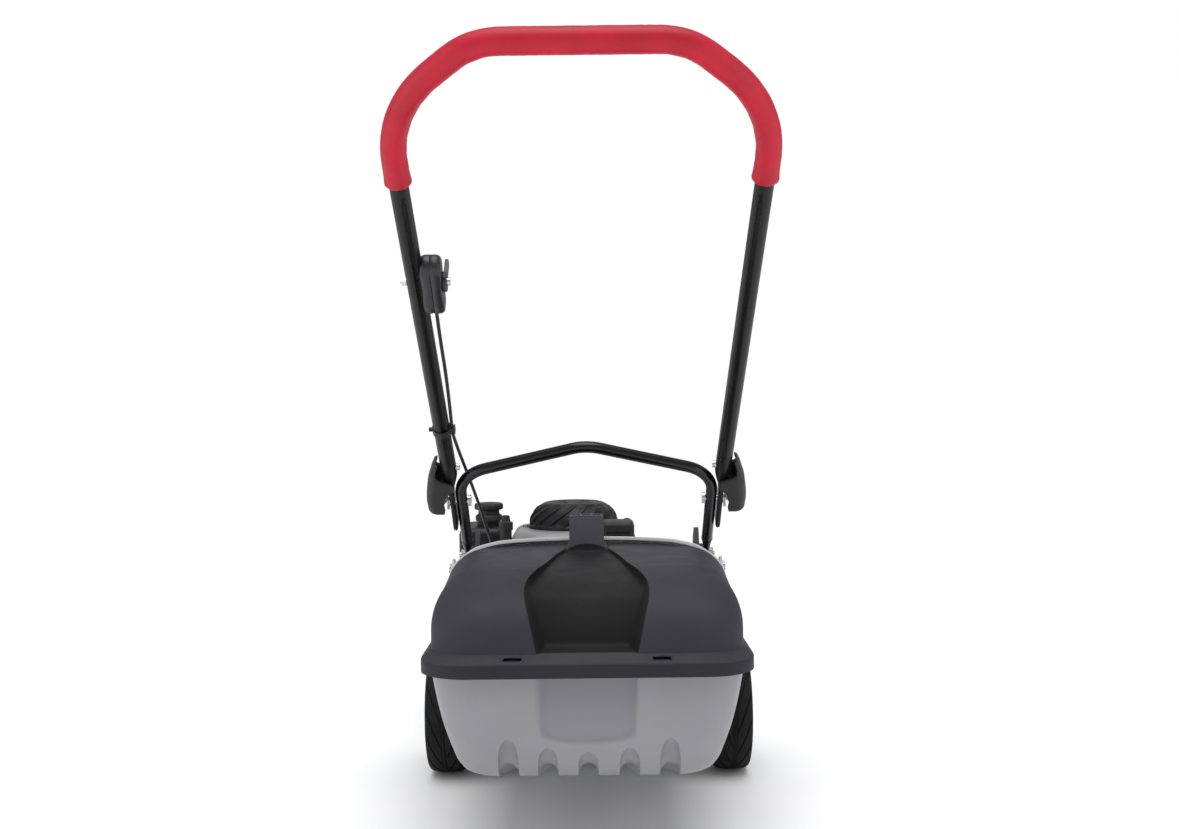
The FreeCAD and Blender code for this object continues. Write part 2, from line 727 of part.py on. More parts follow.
def arch_cutter(start, end, fall, y_range):
    """Everything above one sloping stretch of the arch."""
    start = V(start[0], y_range[0], start[1])
    end = V(end[0], y_range[0], end[1])
    run = (end - start).normalize()
    outward = V(-run.z, 0, run.x)
    if outward.z < 0:
        outward = outward * -1
    reach = FLAP_HALF
    base = [start - run * reach, end + run * reach]
    corners = base + [point + outward * reach for point in reversed(base)]
    length = y_range[1] - y_range[0]
    slope = fall / (FLAP_FRONT - FLAP_REAR)
    lift = V(0, 0, (FLAP_REAR - y_range[0]) * slope)
    corners = [point + lift for point in corners]
    return Part.Face(Part.makePolygon(corners + corners[:1])).extrude(V(0, length, -length * slope))


def arch(inset, y_range):
    """Block under the flap's outer or inner skin, lower towards the hinge."""
    half = FLAP_HALF - inset
    body = block((-half, half), y_range, (FLAP_FOOT + inset, FLAP_TOP - inset))
    points = [(max(0, x - inset), z - inset) for x, z in FLAP_ARCH]
    cutters = []
    for start, end, fall in zip(points, points[1:], FLAP_FALL):
        cutter = arch_cutter(start, end, fall, y_range)
        cutters += [cutter, mirrored(cutter)]
    for cutter in cutters:
        body = body.cut(cutter)
    return body


def rear_flap():
    """Arched flap that rests over the front of the grass box lid."""
    shell = arch(0, (FLAP_REAR, FLAP_FRONT)).cut(arch(FLAP_WALL, (FLAP_REAR - 1, FLAP_FRONT + 1)))
    shell = shell.cut(block((-170, 170), (FLAP_REAR - 1, FLAP_FRONT + 1), (260, 300)))
    low_corner = [(FLAP_REAR - 1, 270), (-24, 270), (-60, 300), (FLAP_REAR - 1, 300)]
    shell = shell.cut(side_plate(low_corner, (-220, 220)))
    inner = FLAP_HALF - FLAP_WALL
    ear = rod((inner, FLAP_PIVOT_Y, FLAP_PIVOT_Z), (FLAP_HALF, FLAP_PIVOT_Y, FLAP_PIVOT_Z), 14)
    lip = arch(FLAP_WALL, (FLAP_FRONT - 3, FLAP_FRONT))
    lip = lip.cut(arch(FLAP_WALL + FLAP_LIP, (FLAP_FRONT - 4, FLAP_FRONT + 1)))
    lip = lip.cut(block((-220, 220), (FLAP_FRONT - 5, FLAP_FRONT + 2), (260, FLAP_LIP_Z)))
    body = fused([shell, ear, mirrored(ear), lip])
    hole_radius = 4 + RUNNING_GAP
    hole = rod((-210, FLAP_PIVOT_Y, FLAP_PIVOT_Z), (210, FLAP_PIVOT_Y, FLAP_PIVOT_Z), hole_radius)
    return body.cut(hole)


def flap_pivots():
    """Shouldered pins with domed heads on which the flap turns."""
    y = FLAP_PIVOT_Y
    z = FLAP_PIVOT_Z
    pin = rod((BRACKET_X[0], y, z), (FLAP_HALF + 1, y, z), 4)
    collar = rod((BRACKET_X[1], y, z), (FLAP_HALF - 12.5, y, z), 6)
    head = rod((FLAP_HALF + 0.4, y, z), (FLAP_HALF + 4.4, y, z), 7)
    return both_sides(fused([pin, collar, head]))


def spring_point(angle):
    """Point on the centre line of a coil whose axis is Z."""
    rise = SPRING_PITCH * angle / (2 * math.pi)
    return V(SPRING_R * math.cos(angle), SPRING_R * math.sin(angle), rise)


def flap_springs():
    """Torsion springs round the pivot collars, each turn made of four arcs."""
    edges = []
    quarter = math.pi / 2
    for index in range(4 * SPRING_TURNS):
        start = quarter * index
        through = [spring_point(start + quarter * share) for share in (0, 0.5, 1)]
        edges.append(Part.Arc(*through).toShape())
    spring = swept(Part.Wire(edges), SPRING_WIRE_R)
    spring.rotate(ORIGIN, Y_AXIS, 90)
    spring.translate(V(BRACKET_X[1] + 2.5, FLAP_PIVOT_Y, FLAP_PIVOT_Z))
    return both_sides(spring)


def level_wire(z, half, rear, front, corner):
    """Rounded rectangle at one height, with tighter front corners."""
    points = [(half, front, z), (-half, front, z), (-half, rear, z), (half, rear, z)]
    return rounded_wire(points, [8, 8, corner, corner], closed=True)


def lid_levels(inset):
    """Heights of the lid dome with their half widths and rear edges."""
    levels = [(LID_RIM[1], LID_RIM_HALF, LID_REAR), (LID_DOME_Z, LID_DOME_HALF, LID_DOME_REAR)]
    base = LID_TOP - LID_TOP_R
    for step in range(7):
        angle = math.radians(90 * step / 6.6)
        z = base + LID_TOP_R * math.sin(angle)
        spread = math.cos(angle)
        half = LID_DOME_HALF - LID_TOP_R * (1 - spread)
        rear = LID_DOME_REAR + LID_REAR_SWEEP * (1 - spread)
        levels.append((z, half, rear))
    return [(z - inset, half - inset, rear + inset) for z, half, rear in levels]


def lid_block(inset):
    """Closed block of the lid, or of the hollow inside it."""
    front = LID_FRONT - inset
    corner = 56 - inset
    wires = [level_wire(z, half, rear, front, corner) for z, half, rear in lid_levels(inset)]
    dome = Part.makeLoft(wires, True, True)
    low = LID_RIM[0] - inset
    rim_plan = level_wire(low, LID_RIM_HALF - inset, LID_REAR + inset, front, corner)
    rim = Part.Face(rim_plan).extrude(V(0, 0, LID_RIM[1] - LID_RIM[0]))
    return fused([dome, rim])


def box_lid():
    """Domed lid of the grass box, open below and at the mouth."""
    shell = lid_block(0).cut(lid_block(BOX_WALL))
    mouth = cross_plate(rectangle((-150, 150), (200, 312)), (-140, -90), [0, 0, 40, 40])
    slots = []
    for x in (-83, 83):
        slots.append(block((x - 10, x + 10), (-425, -405), (238, 242)))
    return shell.cut(mouth).cut(Part.makeCompound(slots))


def body_block(inset):
    """Closed block of the grass box body, or of its hollow."""
    front = BOX_FRONT - inset
    wires = []
    for z, half, rear in BODY_LEVELS:
        wires.append(level_wire(z + inset, half - inset, rear + inset, front, BOX_CORNER_R - inset))
    return Part.makeLoft(wires, True, True)


def box_body():
    """Tapered lower half of the grass box with a flange under the lid."""
    outer = body_block(0)
    flange_wire = level_wire(217.5, LID_RIM_HALF - 3, LID_REAR + 3, BOX_FRONT - 8, 56)
    flange = Part.Face(flange_wire).extrude(V(0, 0, 3))
    outer = fused([outer, flange])
    shell = outer.cut(body_block(BOX_WALL)).cut(block((-178, 178), (-400, -103), (210, 230)))
    mouth = cross_plate(rectangle((-150, 150), (114, 240)), (-130, -80), [20, 20, 0, 0])
    return shell.cut(mouth)


def lid_handle():
    """Upright carrying tongue with three pockets on top and a finger recess in front."""
    outline = [(-30, LID_TOP), (-23, LID_TOP + 12), (-23, TONGUE_TOP)]
    outline += [(-x, z) for x, z in reversed(outline)]
    body = cross_plate(outline, (-152, -124), [0, 8, 5, 5, 8, 0])
    pocket_z = (TONGUE_TOP - 13, TONGUE_TOP + 6)
    pockets = [block((x - 5.5, x + 5.5), (-146, -130), pocket_z) for x in (-14, 0, 14)]
    hollow = block((-17, 17), (-139, -120), (LID_TOP + 8, TONGUE_TOP - 17))
    return body.cut(Part.makeCompound(pockets)).cut(hollow)


# ---------- engine ----------

def crankcase():
    """Cast engine base with a mounting flange and a bore for the shaft."""
    flange = rod((CRANK_X, CRANK_Y, DECK_TOP), (CRANK_X, CRANK_Y, DECK_TOP + 8), 84)
    drum = rod((CRANK_X, CRANK_Y, DECK_TOP + 8), (CRANK_X, CRANK_Y, SHROUD_BOTTOM), 68)
    side = rectangle((CRANK_X - 58, CRANK_X + 58), (CRANK_Y, CRANK_Y + CYLINDER_START))
    neck = level_plate(side, (DECK_TOP + 14, SHROUD_BOTTOM - 8), 10)
    body = fused([flange, drum, neck])
    hollow = rod((CRANK_X, CRANK_Y, DECK_TOP + 14), (CRANK_X, CRANK_Y, SHROUD_BOTTOM - 8), 58)
    bore = rod((CRANK_X, CRANK_Y, 150), (CRANK_X, CRANK_Y, 260), SHAFT_R + RUNNING_GAP)
    return body.cut(hollow).cut(bore)


def cylinder_block():
    """Finned cylinder that points forward from the crankcase."""
    start = CRANK_Y + CYLINDER_START
    core = rod((CRANK_X, start, CYLINDER_Z), (CRANK_X, start + CYLINDER_LENGTH, CYLINDER_Z), 36)
    bore = rod((CRANK_X, start + 1, CYLINDER_Z), (CRANK_X, start + 60, CYLINDER_Z), 28)
    fins = []
    for index in range(8):
        y = start + 4 + 7.5 * index
        fin = cross_plate(rectangle((CRANK_X - 52, CRANK_X + 52), (166, 238)), (y, y + 2.5), 14)
        fins.append(fin)
    return fused([core] + fins).cut(bore)


def cylinder_head():
    """Head casting bolted to the front of the cylinder."""
    start = CRANK_Y + CYLINDER_START + CYLINDER_LENGTH
    plan = rectangle((CRANK_X - 50, CRANK_X + 50), (168, 238))
    plate = cross_plate(plan, (start, start + 10), 12)
    cover = cross_plate(rectangle((CRANK_X - 40, CRANK_X + 40), (186, 230)), (start + 10, start + 26), 8)
    plug_hole = rod((CRANK_X, start - 1, 176), (CRANK_X, start + 12, 176), 5)
    return fused([plate, cover]).cut(plug_hole)


def spark_plug():
    """Plug with a hexagon and a white insulator."""
    start = CRANK_Y + CYLINDER_START + CYLINDER_LENGTH
    thread = rod((CRANK_X, start, 176), (CRANK_X, start + 10, 176), 5)
    nut = hexagon((CRANK_X, start + 10, 176), Y_AXIS, 16, 8)
    insulator = rod((CRANK_X, start + 18, 176), (CRANK_X, start + 32, 176), 4.5)
    return fused([thread, nut, insulator])


def shroud_block(inset):
    """Outer or inner form of the fan shroud."""
    half = SHROUD_HALF - inset
    plan = rectangle((CRANK_X - half, CRANK_X + half), (CRANK_Y - half, CRANK_Y + half))
    body = level_plate(plan, (SHROUD_BOTTOM - inset, SHROUD_TOP - inset), 52 - inset)
    top = [edge for edge in body.Edges if edge.BoundBox.ZMin > SHROUD_TOP - inset - 1]
    return body.makeFillet(18 - inset, top)


def blower_shroud():
    """Fan shroud, open below and with an air inlet on top."""
    shell = shroud_block(0).cut(shroud_block(2.5))
    return shell.cut(rod((CRANK_X, CRANK_Y, SHROUD_TOP - 10), (CRANK_X, CRANK_Y, SHROUD_TOP + 5), 60))


def recoil_housing():
    """Domed starter housing with slanted ribs and air slots."""
    centre = V(CRANK_X, CRANK_Y, 0)
    outer = [(SHROUD_TOP, 73), (SHROUD_TOP + 16, 72), (SHROUD_TOP + 33, 62)]
    outer += [(RECOIL_TOP - 2, 48), (RECOIL_TOP, 44), (RECOIL_TOP, 0)]
    inner = [(RECOIL_TOP - 3, 0), (RECOIL_TOP - 3, 43), (SHROUD_TOP + 31, 59), (SHROUD_TOP + 15, 69)]
    inner += [(SHROUD_TOP, 70)]
    shell = spun(outer + inner, Z_AXIS, centre)
    slots = []
    for index in range(16):
        slot_z = (SHROUD_TOP + 5, RECOIL_TOP - 9)
        slot = block((CRANK_X + 50, CRANK_X + 80), (CRANK_Y - 3.5, CRANK_Y + 3.5), slot_z)
        slot.rotate(V(CRANK_X + 66, CRANK_Y, 346), X_AXIS, 28)
        slot.rotate(V(CRANK_X, CRANK_Y, 0), Z_AXIS, index * 22.5)
        slots.append(slot)
    return shell.cut(Part.makeCompound(slots))


def starter_grip():
    """Pull handle that sits at the rope outlet of the starter housing."""
    grip = rod((64, 185, 334), (64, 225, 334), 8)
    ends = [edge for edge in grip.Edges if edge.Curve.TypeId == "Part::GeomCircle"]
    grip = grip.makeFillet(4, ends)
    stem = rod((64, 205, 334), (43, 220, 334), 3.5)
    return fused([grip, stem])


def flywheel():
    """Finned flywheel with the cup that the starter pawls engage."""
    centre = V(CRANK_X, CRANK_Y, 0)
    section = [(256, SHAFT_R), (256, 78), (268, 78), (268, 30), (292, 30), (292, 34), (316, 34), (316, 31)]
    section += [(295, 31), (295, SHAFT_R)]
    disc = spun(section, Z_AXIS, centre)
    fins = []
    for index in range(14):
        fin = block((CRANK_X + 34, CRANK_X + 76), (CRANK_Y - 1.5, CRANK_Y + 1.5), (267, 286))
        fin.rotate(centre, Z_AXIS, index * 360 / 14)
        fins.append(fin)
    return fused([disc] + fins)


def crankshaft():
    """Vertical shaft from the blade to the flywheel, turned in steps."""
    centre = V(CRANK_X, CRANK_Y, 0)
    profile = [(72, 0), (72, 11), (150, 11), (150, SHAFT_R), (300, SHAFT_R), (300, 6), (312, 6), (312, 0)]
    return spun(profile, Z_AXIS, centre)


def blade_adapter():
    """Flanged boss that clamps the blade to the shaft."""
    centre = V(CRANK_X, CRANK_Y, 0)
    profile = [(68, 0), (68, 32), (74, 32), (78, 20), (110, 20), (110, 11), (72, 11), (72, 0)]
    return spun(profile, Z_AXIS, centre)


def blade():
    """Cutting blade with ground edges and raised wings."""
    length = 196
    plan = rectangle((CRANK_X - length, CRANK_X + length), (CRANK_Y - 25, CRANK_Y + 25))
    bar = level_plate(plan, (63, 67), 6)
    wing_side = [(-25, 63), (-8, 63), (-8, 67), (-25, 80), (-28, 78)]
    wing_side = [(CRANK_Y + along, z) for along, z in wing_side]
    wing = side_plate(wing_side, (CRANK_X + 110, CRANK_X + 180))
    centre = V(CRANK_X, CRANK_Y, 65)
    other = wing.copy()
    other.rotate(centre, Z_AXIS, 180)
    body = fused([bar, wing, other])
    return body.cut(rod((CRANK_X, CRANK_Y, 55), (CRANK_X, CRANK_Y, 70), 6))


def blade_bolt():
    """Bolt and washer under the blade."""
    washer = rod((CRANK_X, CRANK_Y, 60), (CRANK_X, CRANK_Y, 63), 18)
    head = hexagon((CRANK_X, CRANK_Y, 51), Z_AXIS, 17, 9)
    shank = rod((CRANK_X, CRANK_Y, 60), (CRANK_X, CRANK_Y, 67.5), 6)
    return fused([washer, head, shank])


def fuel_tank():
    """Blow-moulded tank with a filler neck."""
    body = level_plate(rectangle(TANK_X, TANK_Y), TANK_Z, 22)
    rims = [edge for edge in body.Edges if edge.BoundBox.ZLength < 0.1]
    body = body.makeFillet(12, rims)
    x, y = CAP_CENTRE
    neck = rod((x, y, TANK_Z[1] - 6), (x, y, 346), 19)
    bore = rod((x, y, TANK_Z[1] - 20), (x, y, 347), 16)
    inside_x = (TANK_X[0] + TANK_WALL, TANK_X[1] - TANK_WALL)
    inside_y = (TANK_Y[0] + TANK_WALL, TANK_Y[1] - TANK_WALL)
    hollow = level_plate(rectangle(inside_x, inside_y), (TANK_Z[0] + TANK_WALL, TANK_Z[1] - 6), 18)
    return fused([body, neck]).cut(hollow).cut(bore)


def fuel_cap():
    """Ribbed screw cap on the filler neck."""
    x, y = CAP_CENTRE
    centre = V(x, y, 0)
    top = CAP_BASE + 20.7
    body = spun([(CAP_BASE, 0), (CAP_BASE, 23.5), (top - 5, 23.5), (top, 20), (top, 0)], Z_AXIS, centre)
    skirt = spun([(338, 19.4), (338, 23.5), (346.4, 23.5), (346.4, 19.4)], Z_AXIS, centre)
    grooves = []
    for index in range(18):
        groove = rod((x + 24.5, y, 336), (x + 24.5, y, 363), 2)
        groove.rotate(centre, Z_AXIS, index * 20)
        grooves.append(groove)
    return fused([body, skirt]).cut(Part.makeCompound(grooves))


def oil_filler():
    """Filler tube that rises from the crankcase."""
    foot = (CRANK_X - 50, CRANK_Y - 48, 200)
    bend = (OIL_X, OIL_Y, 236)
    points = [foot, bend, (OIL_X, OIL_Y, OIL_TOP)]
    path = rounded_wire(points, [0, 30, 0])
    base = rod((CRANK_X, CRANK_Y, 150), (CRANK_X, CRANK_Y, 245), 68)
    return swept(path, 9).cut(base)


def oil_cap():
    """Knob of the dipstick."""
    centre = V(OIL_X, OIL_Y, 0)
    profile = [(0.3, 0), (0.3, 11), (12, 11), (14, 7), (22, 6), (23, 4), (23, 0)]
    return spun([(OIL_TOP + height, radius) for height, radius in profile], Z_AXIS, centre)


def air_filter_cover():
    """Snap-on cover with a stepped top and louvres."""
    body = level_plate(rectangle((22, 72), (94, 152)), (308, 347), 9)
    top = [edge for edge in body.Edges if edge.BoundBox.ZMin > 346]
    body = body.makeFillet(7, top)
    louvres = [block((30, 64), (92, 96), (z, z + 3)) for z in (315, 322, 329)]
    return body.cut(Part.makeCompound(louvres))


def carburettor():
    """Carburettor body with its bowl, intake pipe and filter box."""
    box = level_plate(rectangle((24, 70), (96, 150)), (256, 308), 8)
    body = block((32, 62), (110, 142), (214, 256))
    bowl = rod((47, 126, 196), (47, 126, 214), 14)
    pipe = rod((34, 142, 226), (20, 186, 222), 10)
    base = rod((CRANK_X, CRANK_Y, 150), (CRANK_X, CRANK_Y, 245), 68)
    return fused([box, body, bowl, pipe.cut(base)])


def muffler():
    """Exhaust box beside the cylinder."""
    body = block((52, 116), (CRANK_Y + 92, CRANK_Y + 150), (186, 234))
    body = body.makeFillet(10, body.Edges)
    stub = rod((30.3, CRANK_Y + 120, 210), (54, CRANK_Y + 120, 210), 10)
    outlet = rod((80, CRANK_Y + 145, 210), (80, CRANK_Y + 155, 210), 8)
    return fused([body, stub]).cut(outlet)


def muffler_guard():
    """Perforated heat guard outside the exhaust box."""
    y0 = CRANK_Y + 86
    y1 = CRANK_Y + 156
    outer = level_plate(rectangle((64, 124), (y0, y1)), (180, 242), 8)
    inner = block((50, 122), (y0 + 2, y1 - 2), (179, 240))
    holes = []
    for row in range(4):
        for column in range(5):
            y = y0 + 13 + column * 11
            z = 192 + row * 12
            holes.append(rod((118, y, z), (128, y, z), 3.2))
    return outer.cut(inner).cut(Part.makeCompound(holes))


def chassis_fasteners():
    """Every screw, bolt and nut fixed to the chassis."""
    screws = []
    for index in range(4):
        angle = math.radians(45 + 90 * index)
        x = CRANK_X + 76 * math.cos(angle)
        y = CRANK_Y + 76 * math.sin(angle)
        screws.append(hexagon((x, y, DECK_TOP + 8), Z_AXIS, 10, 5))
    for index in range(4):
        angle = math.radians(90 * index)
        x = CRANK_X + 79 * math.cos(angle)
        y = CRANK_Y + 79 * math.sin(angle)
        screws.append(hexagon((x, y, SHROUD_TOP), Z_AXIS, 7, 4))
    return Part.makeCompound(screws + bracket_bolts() + lower_bolts())


def cable_clamp():
    """Bracket and clamp that hold the end of the cable on the engine."""
    plate = block((-149, -136.5), (150, 153), (270, 300))
    arm = block((-149, -146), (153, TANK_Y[0]), (270, 294))
    return fused([plate, arm])


def all_nodes():
    """Every node of the machine by name."""
    nodes = {
        "deck": deck(),
        "handle_bracket_right": handle_bracket(),
        "handle_bracket_left": mirrored(handle_bracket()),
        "rear_axle": axle(0, REAR_WHEEL_R),
        "front_axle": axle(FRONT_AXLE_Y, FRONT_WHEEL_R),
        "axle_clips": axle_clips(),
        "lower_handle": lower_handle(),
        "upper_handle_tube": throttled_tube(upper_handle_tube()),
        "grip_foam": grip_foam(),
        "cam_bolts": cam_bolts(),
        "cam_pins": cam_pins(),
        "cam_lever_right": cam_lever(),
        "cam_lever_left": mirrored(cam_lever()),
        "throttle_housing_inner": throttle_housing(True),
        "throttle_housing_outer": throttle_housing(False),
        "throttle_lever": throttle_lever(),
        "handle_fixings": handle_fixings(),
        "throttle_cable_upper": throttle_cable_upper(),
        "throttle_cable_lower": throttle_cable_lower(),
        "cable_clip": cable_clip(),
        "rear_flap": rear_flap(),
        "flap_pivots": flap_pivots(),
        "flap_springs": flap_springs(),
        "box_lid": box_lid(),
        "box_body": box_body(),
        "lid_handle": lid_handle(),
        "crankcase": crankcase(),
        "cylinder_block": cylinder_block(),
        "cylinder_head": cylinder_head(),
        "spark_plug": spark_plug(),
        "blower_shroud": blower_shroud(),
        "recoil_housing": recoil_housing(),
        "starter_grip": starter_grip(),
        "flywheel": flywheel(),
        "crankshaft": crankshaft(),
        "blade_adapter": blade_adapter(),
        "blade": blade(),
        "blade_bolt": blade_bolt(),
        "fuel_tank": fuel_tank(),
        "fuel_cap": fuel_cap(),
        "oil_filler": oil_filler(),
        "oil_cap": oil_cap(),
        "air_filter_cover": air_filter_cover(),
        "carburettor": carburettor(),
        "muffler": muffler(),
        "muffler_guard": muffler_guard(),
        "chassis_fasteners": chassis_fasteners(),
        "cable_clamp": cable_clamp(),
    }
    for side_name, side in (("left", -1), ("right", 1)):
        nodes.update(wheel_nodes(f"rear_{side_name}", side, 0, REAR_WHEEL_R))
        nodes.update(wheel_nodes(f"front_{side_name}", side, FRONT_AXLE_Y, FRONT_WHEEL_R))
    return nodes


os.makedirs("parts", exist_ok=True)
for node_name, node_shape in all_nodes().items():
    node_shape.exportStep(f"parts/{node_name}.step")
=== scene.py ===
from math import asin, copysign, cos, degrees, exp, hypot, pi, radians, sin, sqrt, tan

import bpy
import numpy as np
from mathutils import Matrix, Vector


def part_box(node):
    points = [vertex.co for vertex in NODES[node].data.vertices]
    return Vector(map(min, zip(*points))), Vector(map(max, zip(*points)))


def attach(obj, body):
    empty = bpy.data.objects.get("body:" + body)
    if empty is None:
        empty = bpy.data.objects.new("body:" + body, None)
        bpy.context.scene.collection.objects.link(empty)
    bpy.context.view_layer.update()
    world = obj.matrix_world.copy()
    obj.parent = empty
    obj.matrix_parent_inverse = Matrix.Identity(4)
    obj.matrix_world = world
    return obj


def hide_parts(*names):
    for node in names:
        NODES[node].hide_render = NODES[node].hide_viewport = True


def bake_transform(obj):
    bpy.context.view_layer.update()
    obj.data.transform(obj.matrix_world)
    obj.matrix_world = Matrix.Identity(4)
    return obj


# Walk-behind rotary mower: materials, moulded covers, foam grip, tyres and cable
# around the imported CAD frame. Shapes are written in millimetres and made in metres.

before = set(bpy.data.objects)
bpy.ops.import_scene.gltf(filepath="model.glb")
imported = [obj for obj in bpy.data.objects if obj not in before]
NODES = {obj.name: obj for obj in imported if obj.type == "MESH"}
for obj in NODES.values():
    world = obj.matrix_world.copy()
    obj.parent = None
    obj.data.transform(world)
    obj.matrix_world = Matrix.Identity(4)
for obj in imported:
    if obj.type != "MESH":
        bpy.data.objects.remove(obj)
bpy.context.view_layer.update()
MM = 0.001

# The plane of the handle leans back from the fold pivots
HANDLE_LEAN = radians(43)
PIVOT_Y = -30
PIVOT_Z = 392


# ---------- shape helpers ----------

def handle_point(x, s, n):
    """World point, in mm, of (across, up the legs, below their plane)."""
    y = PIVOT_Y - cos(HANDLE_LEAN) * s - sin(HANDLE_LEAN) * n
    z = PIVOT_Z + sin(HANDLE_LEAN) * s - cos(HANDLE_LEAN) * n
    return Vector((x, y, z))


def lerp(low, high, share):
    """Value between two others."""
    return low + (high - low) * share


def ease(share):
    """Smooth step from 0 to 1."""
    share = min(1.0, max(0.0, share))
    return share * share * (3 - 2 * share)


def along(knots, place):
    """Smooth curve through (place, value) knots."""
    places = [knot[0] for knot in knots]
    values = [knot[1] for knot in knots]
    slopes = np.gradient(values, places)
    index = int(np.clip(np.searchsorted(places, place) - 1, 0, len(knots) - 2))
    width = places[index + 1] - places[index]
    t = min(1.0, max(0.0, (place - places[index]) / width))
    rise = 1 + 2 * t
    fall = (1 - t) ** 2
    result = values[index] * rise * fall + slopes[index] * width * t * fall
    result += values[index + 1] * t * t * (3 - 2 * t)
    return float(result - slopes[index + 1] * width * t * t * (1 - t))


def linked(name, data):
    """New object in the scene around some data."""
    piece = bpy.data.objects.new(name, data)
    bpy.context.scene.collection.objects.link(piece)
    return piece


def new_piece(name, points, faces, materials, smooth=True, face_slots=None):
    """Mesh object from points in mm."""
    mesh = bpy.data.meshes.new(name)
    mesh.from_pydata([Vector(point) * MM for point in points], [], faces)
    for finish in materials:
        mesh.materials.append(finish)
    if face_slots:
        mesh.polygons.foreach_set("material_index", face_slots)
    mesh.polygons.foreach_set("use_smooth", [smooth] * len(mesh.polygons))
    mesh.update()
    return linked(name, mesh)


def grid_faces(rows, columns, closed=False, wrap=False, keep=None):
    """Quads of a grid of points stored row by row."""
    faces = []
    for row in range(rows if wrap else rows - 1):
        low = row * columns
        high = (row + 1) % rows * columns
        for column in range(columns if closed else columns - 1):
            if keep is None or keep(row, column):
                after = (column + 1) % columns
                faces.append((low + column, low + after, high + after, high + column))
    return faces


def stand_for(piece, body, slot, *nodes):
    """Ride on a body and hide the plain CAD nodes; the slot is not used."""
    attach(piece, body)
    if nodes:
        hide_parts(*nodes)


def lofted(name, rings, body, slot, *nodes, finish=None, caps="", angle=0, wall=0, flip=False, **grid):
    """Piece skinned over rings of points, with a cap on its first ("a") or last ("z") ring.

    Edges that turn by more than an angle in degrees are sharp, and a wall grows inwards.
    """
    count = len(rings[0])
    faces = grid_faces(len(rings), count, **grid)
    if "a" in caps:
        faces.append(tuple(range(count))[::-1])
    if "z" in caps:
        faces.append(tuple(range((len(rings) - 1) * count, len(rings) * count)))
    if flip:
        faces = [face[::-1] for face in faces]
    piece = new_piece(name, sum(rings, []), faces, [finish or FINISH[slot]])
    if angle:
        shade_by_angle(piece, angle)
    if wall:
        add_modifier(piece, "SOLIDIFY", thickness=wall * MM, offset=-1)
    stand_for(piece, body, slot, *nodes)
    return piece


def circle(count):
    """Angles of even steps round a circle."""
    return [2 * pi * index / count for index in range(count)]


def run_lengths(points):
    """Distance along a line of points, at each of them."""
    lengths = [0.0]
    for low, high in zip(points, points[1:]):
        lengths.append(lengths[-1] + (Vector(high) - Vector(low)).length)
    return lengths


def middle_of(node):
    """Centre of a CAD node across and along, and its lowest and highest level, in mm."""
    low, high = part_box(node)
    return (low.x + high.x) / 2 / MM, (low.y + high.y) / 2 / MM, low.z / MM, high.z / MM


def add_modifier(piece, kind, **values):
    """Modifier with its settings."""
    modifier = piece.modifiers.new(kind.title(), kind)
    for key, value in values.items():
        setattr(modifier, key, value)
    return modifier


def bevelled(piece, width, limit=50, **more):
    """Small rounding of edges that turn by more than a limit in degrees."""
    add_modifier(piece, "BEVEL", width=width * MM, segments=2, limit_method="ANGLE",
                 angle_limit=radians(limit), **more)


def shade_by_angle(piece, angle):
    """Sharp edges where faces turn by more than an angle in degrees."""
    limit = cos(radians(angle))
    turns = {}
    for polygon in piece.data.polygons:
        for key in polygon.edge_keys:
            turns.setdefault(key, []).append(polygon.normal)
    for edge in piece.data.edges:
        normals = turns.get(edge.key, [])
        edge.use_edge_sharp = len(normals) == 2 and normals[0].dot(normals[1]) < limit


def fillet(before, corner, after, radius):
    """Arc that rounds a corner: centre, directions to its ends, half the corner's angle."""
    back = (before - corner).normalized()
    ahead = (after - corner).normalized()
    half = back.angle(ahead) / 2
    centre = corner + (back + ahead).normalized() * (radius / sin(half))
    first, last = ((corner + way * (radius / tan(half)) - centre).normalized() for way in (back, ahead))
    return centre, first, last, half


def filled(path, step):
    """Path without its last point, with extra points on stretches longer than a step."""
    points = []
    for low, high in zip(path, path[1:]):
        count = max(1, int((high - low).length / step))
        points += [low.lerp(high, index / count) for index in range(count)]
    return points


def rounded_path(points, radii, step):
    """Points in mm along straight runs and tangent arcs."""
    path = [points[0]]
    for before, corner, after, radius in zip(points, points[1:], points[2:], radii[1:]):
        centre, first, last, half = fillet(before, corner, after, radius)
        count = max(6, int(radius * (pi - 2 * half) / step))
        path += [centre + first.slerp(last, index / count) * radius for index in range(count + 1)]
    path.append(points[-1])
    return filled(path, step) + [path[-1]]


def mirrored(points):
    """The same points on the other side, in reverse order."""
    return [(-point[0], *point[1:]) for point in reversed(points)]


# ---------- materials ----------

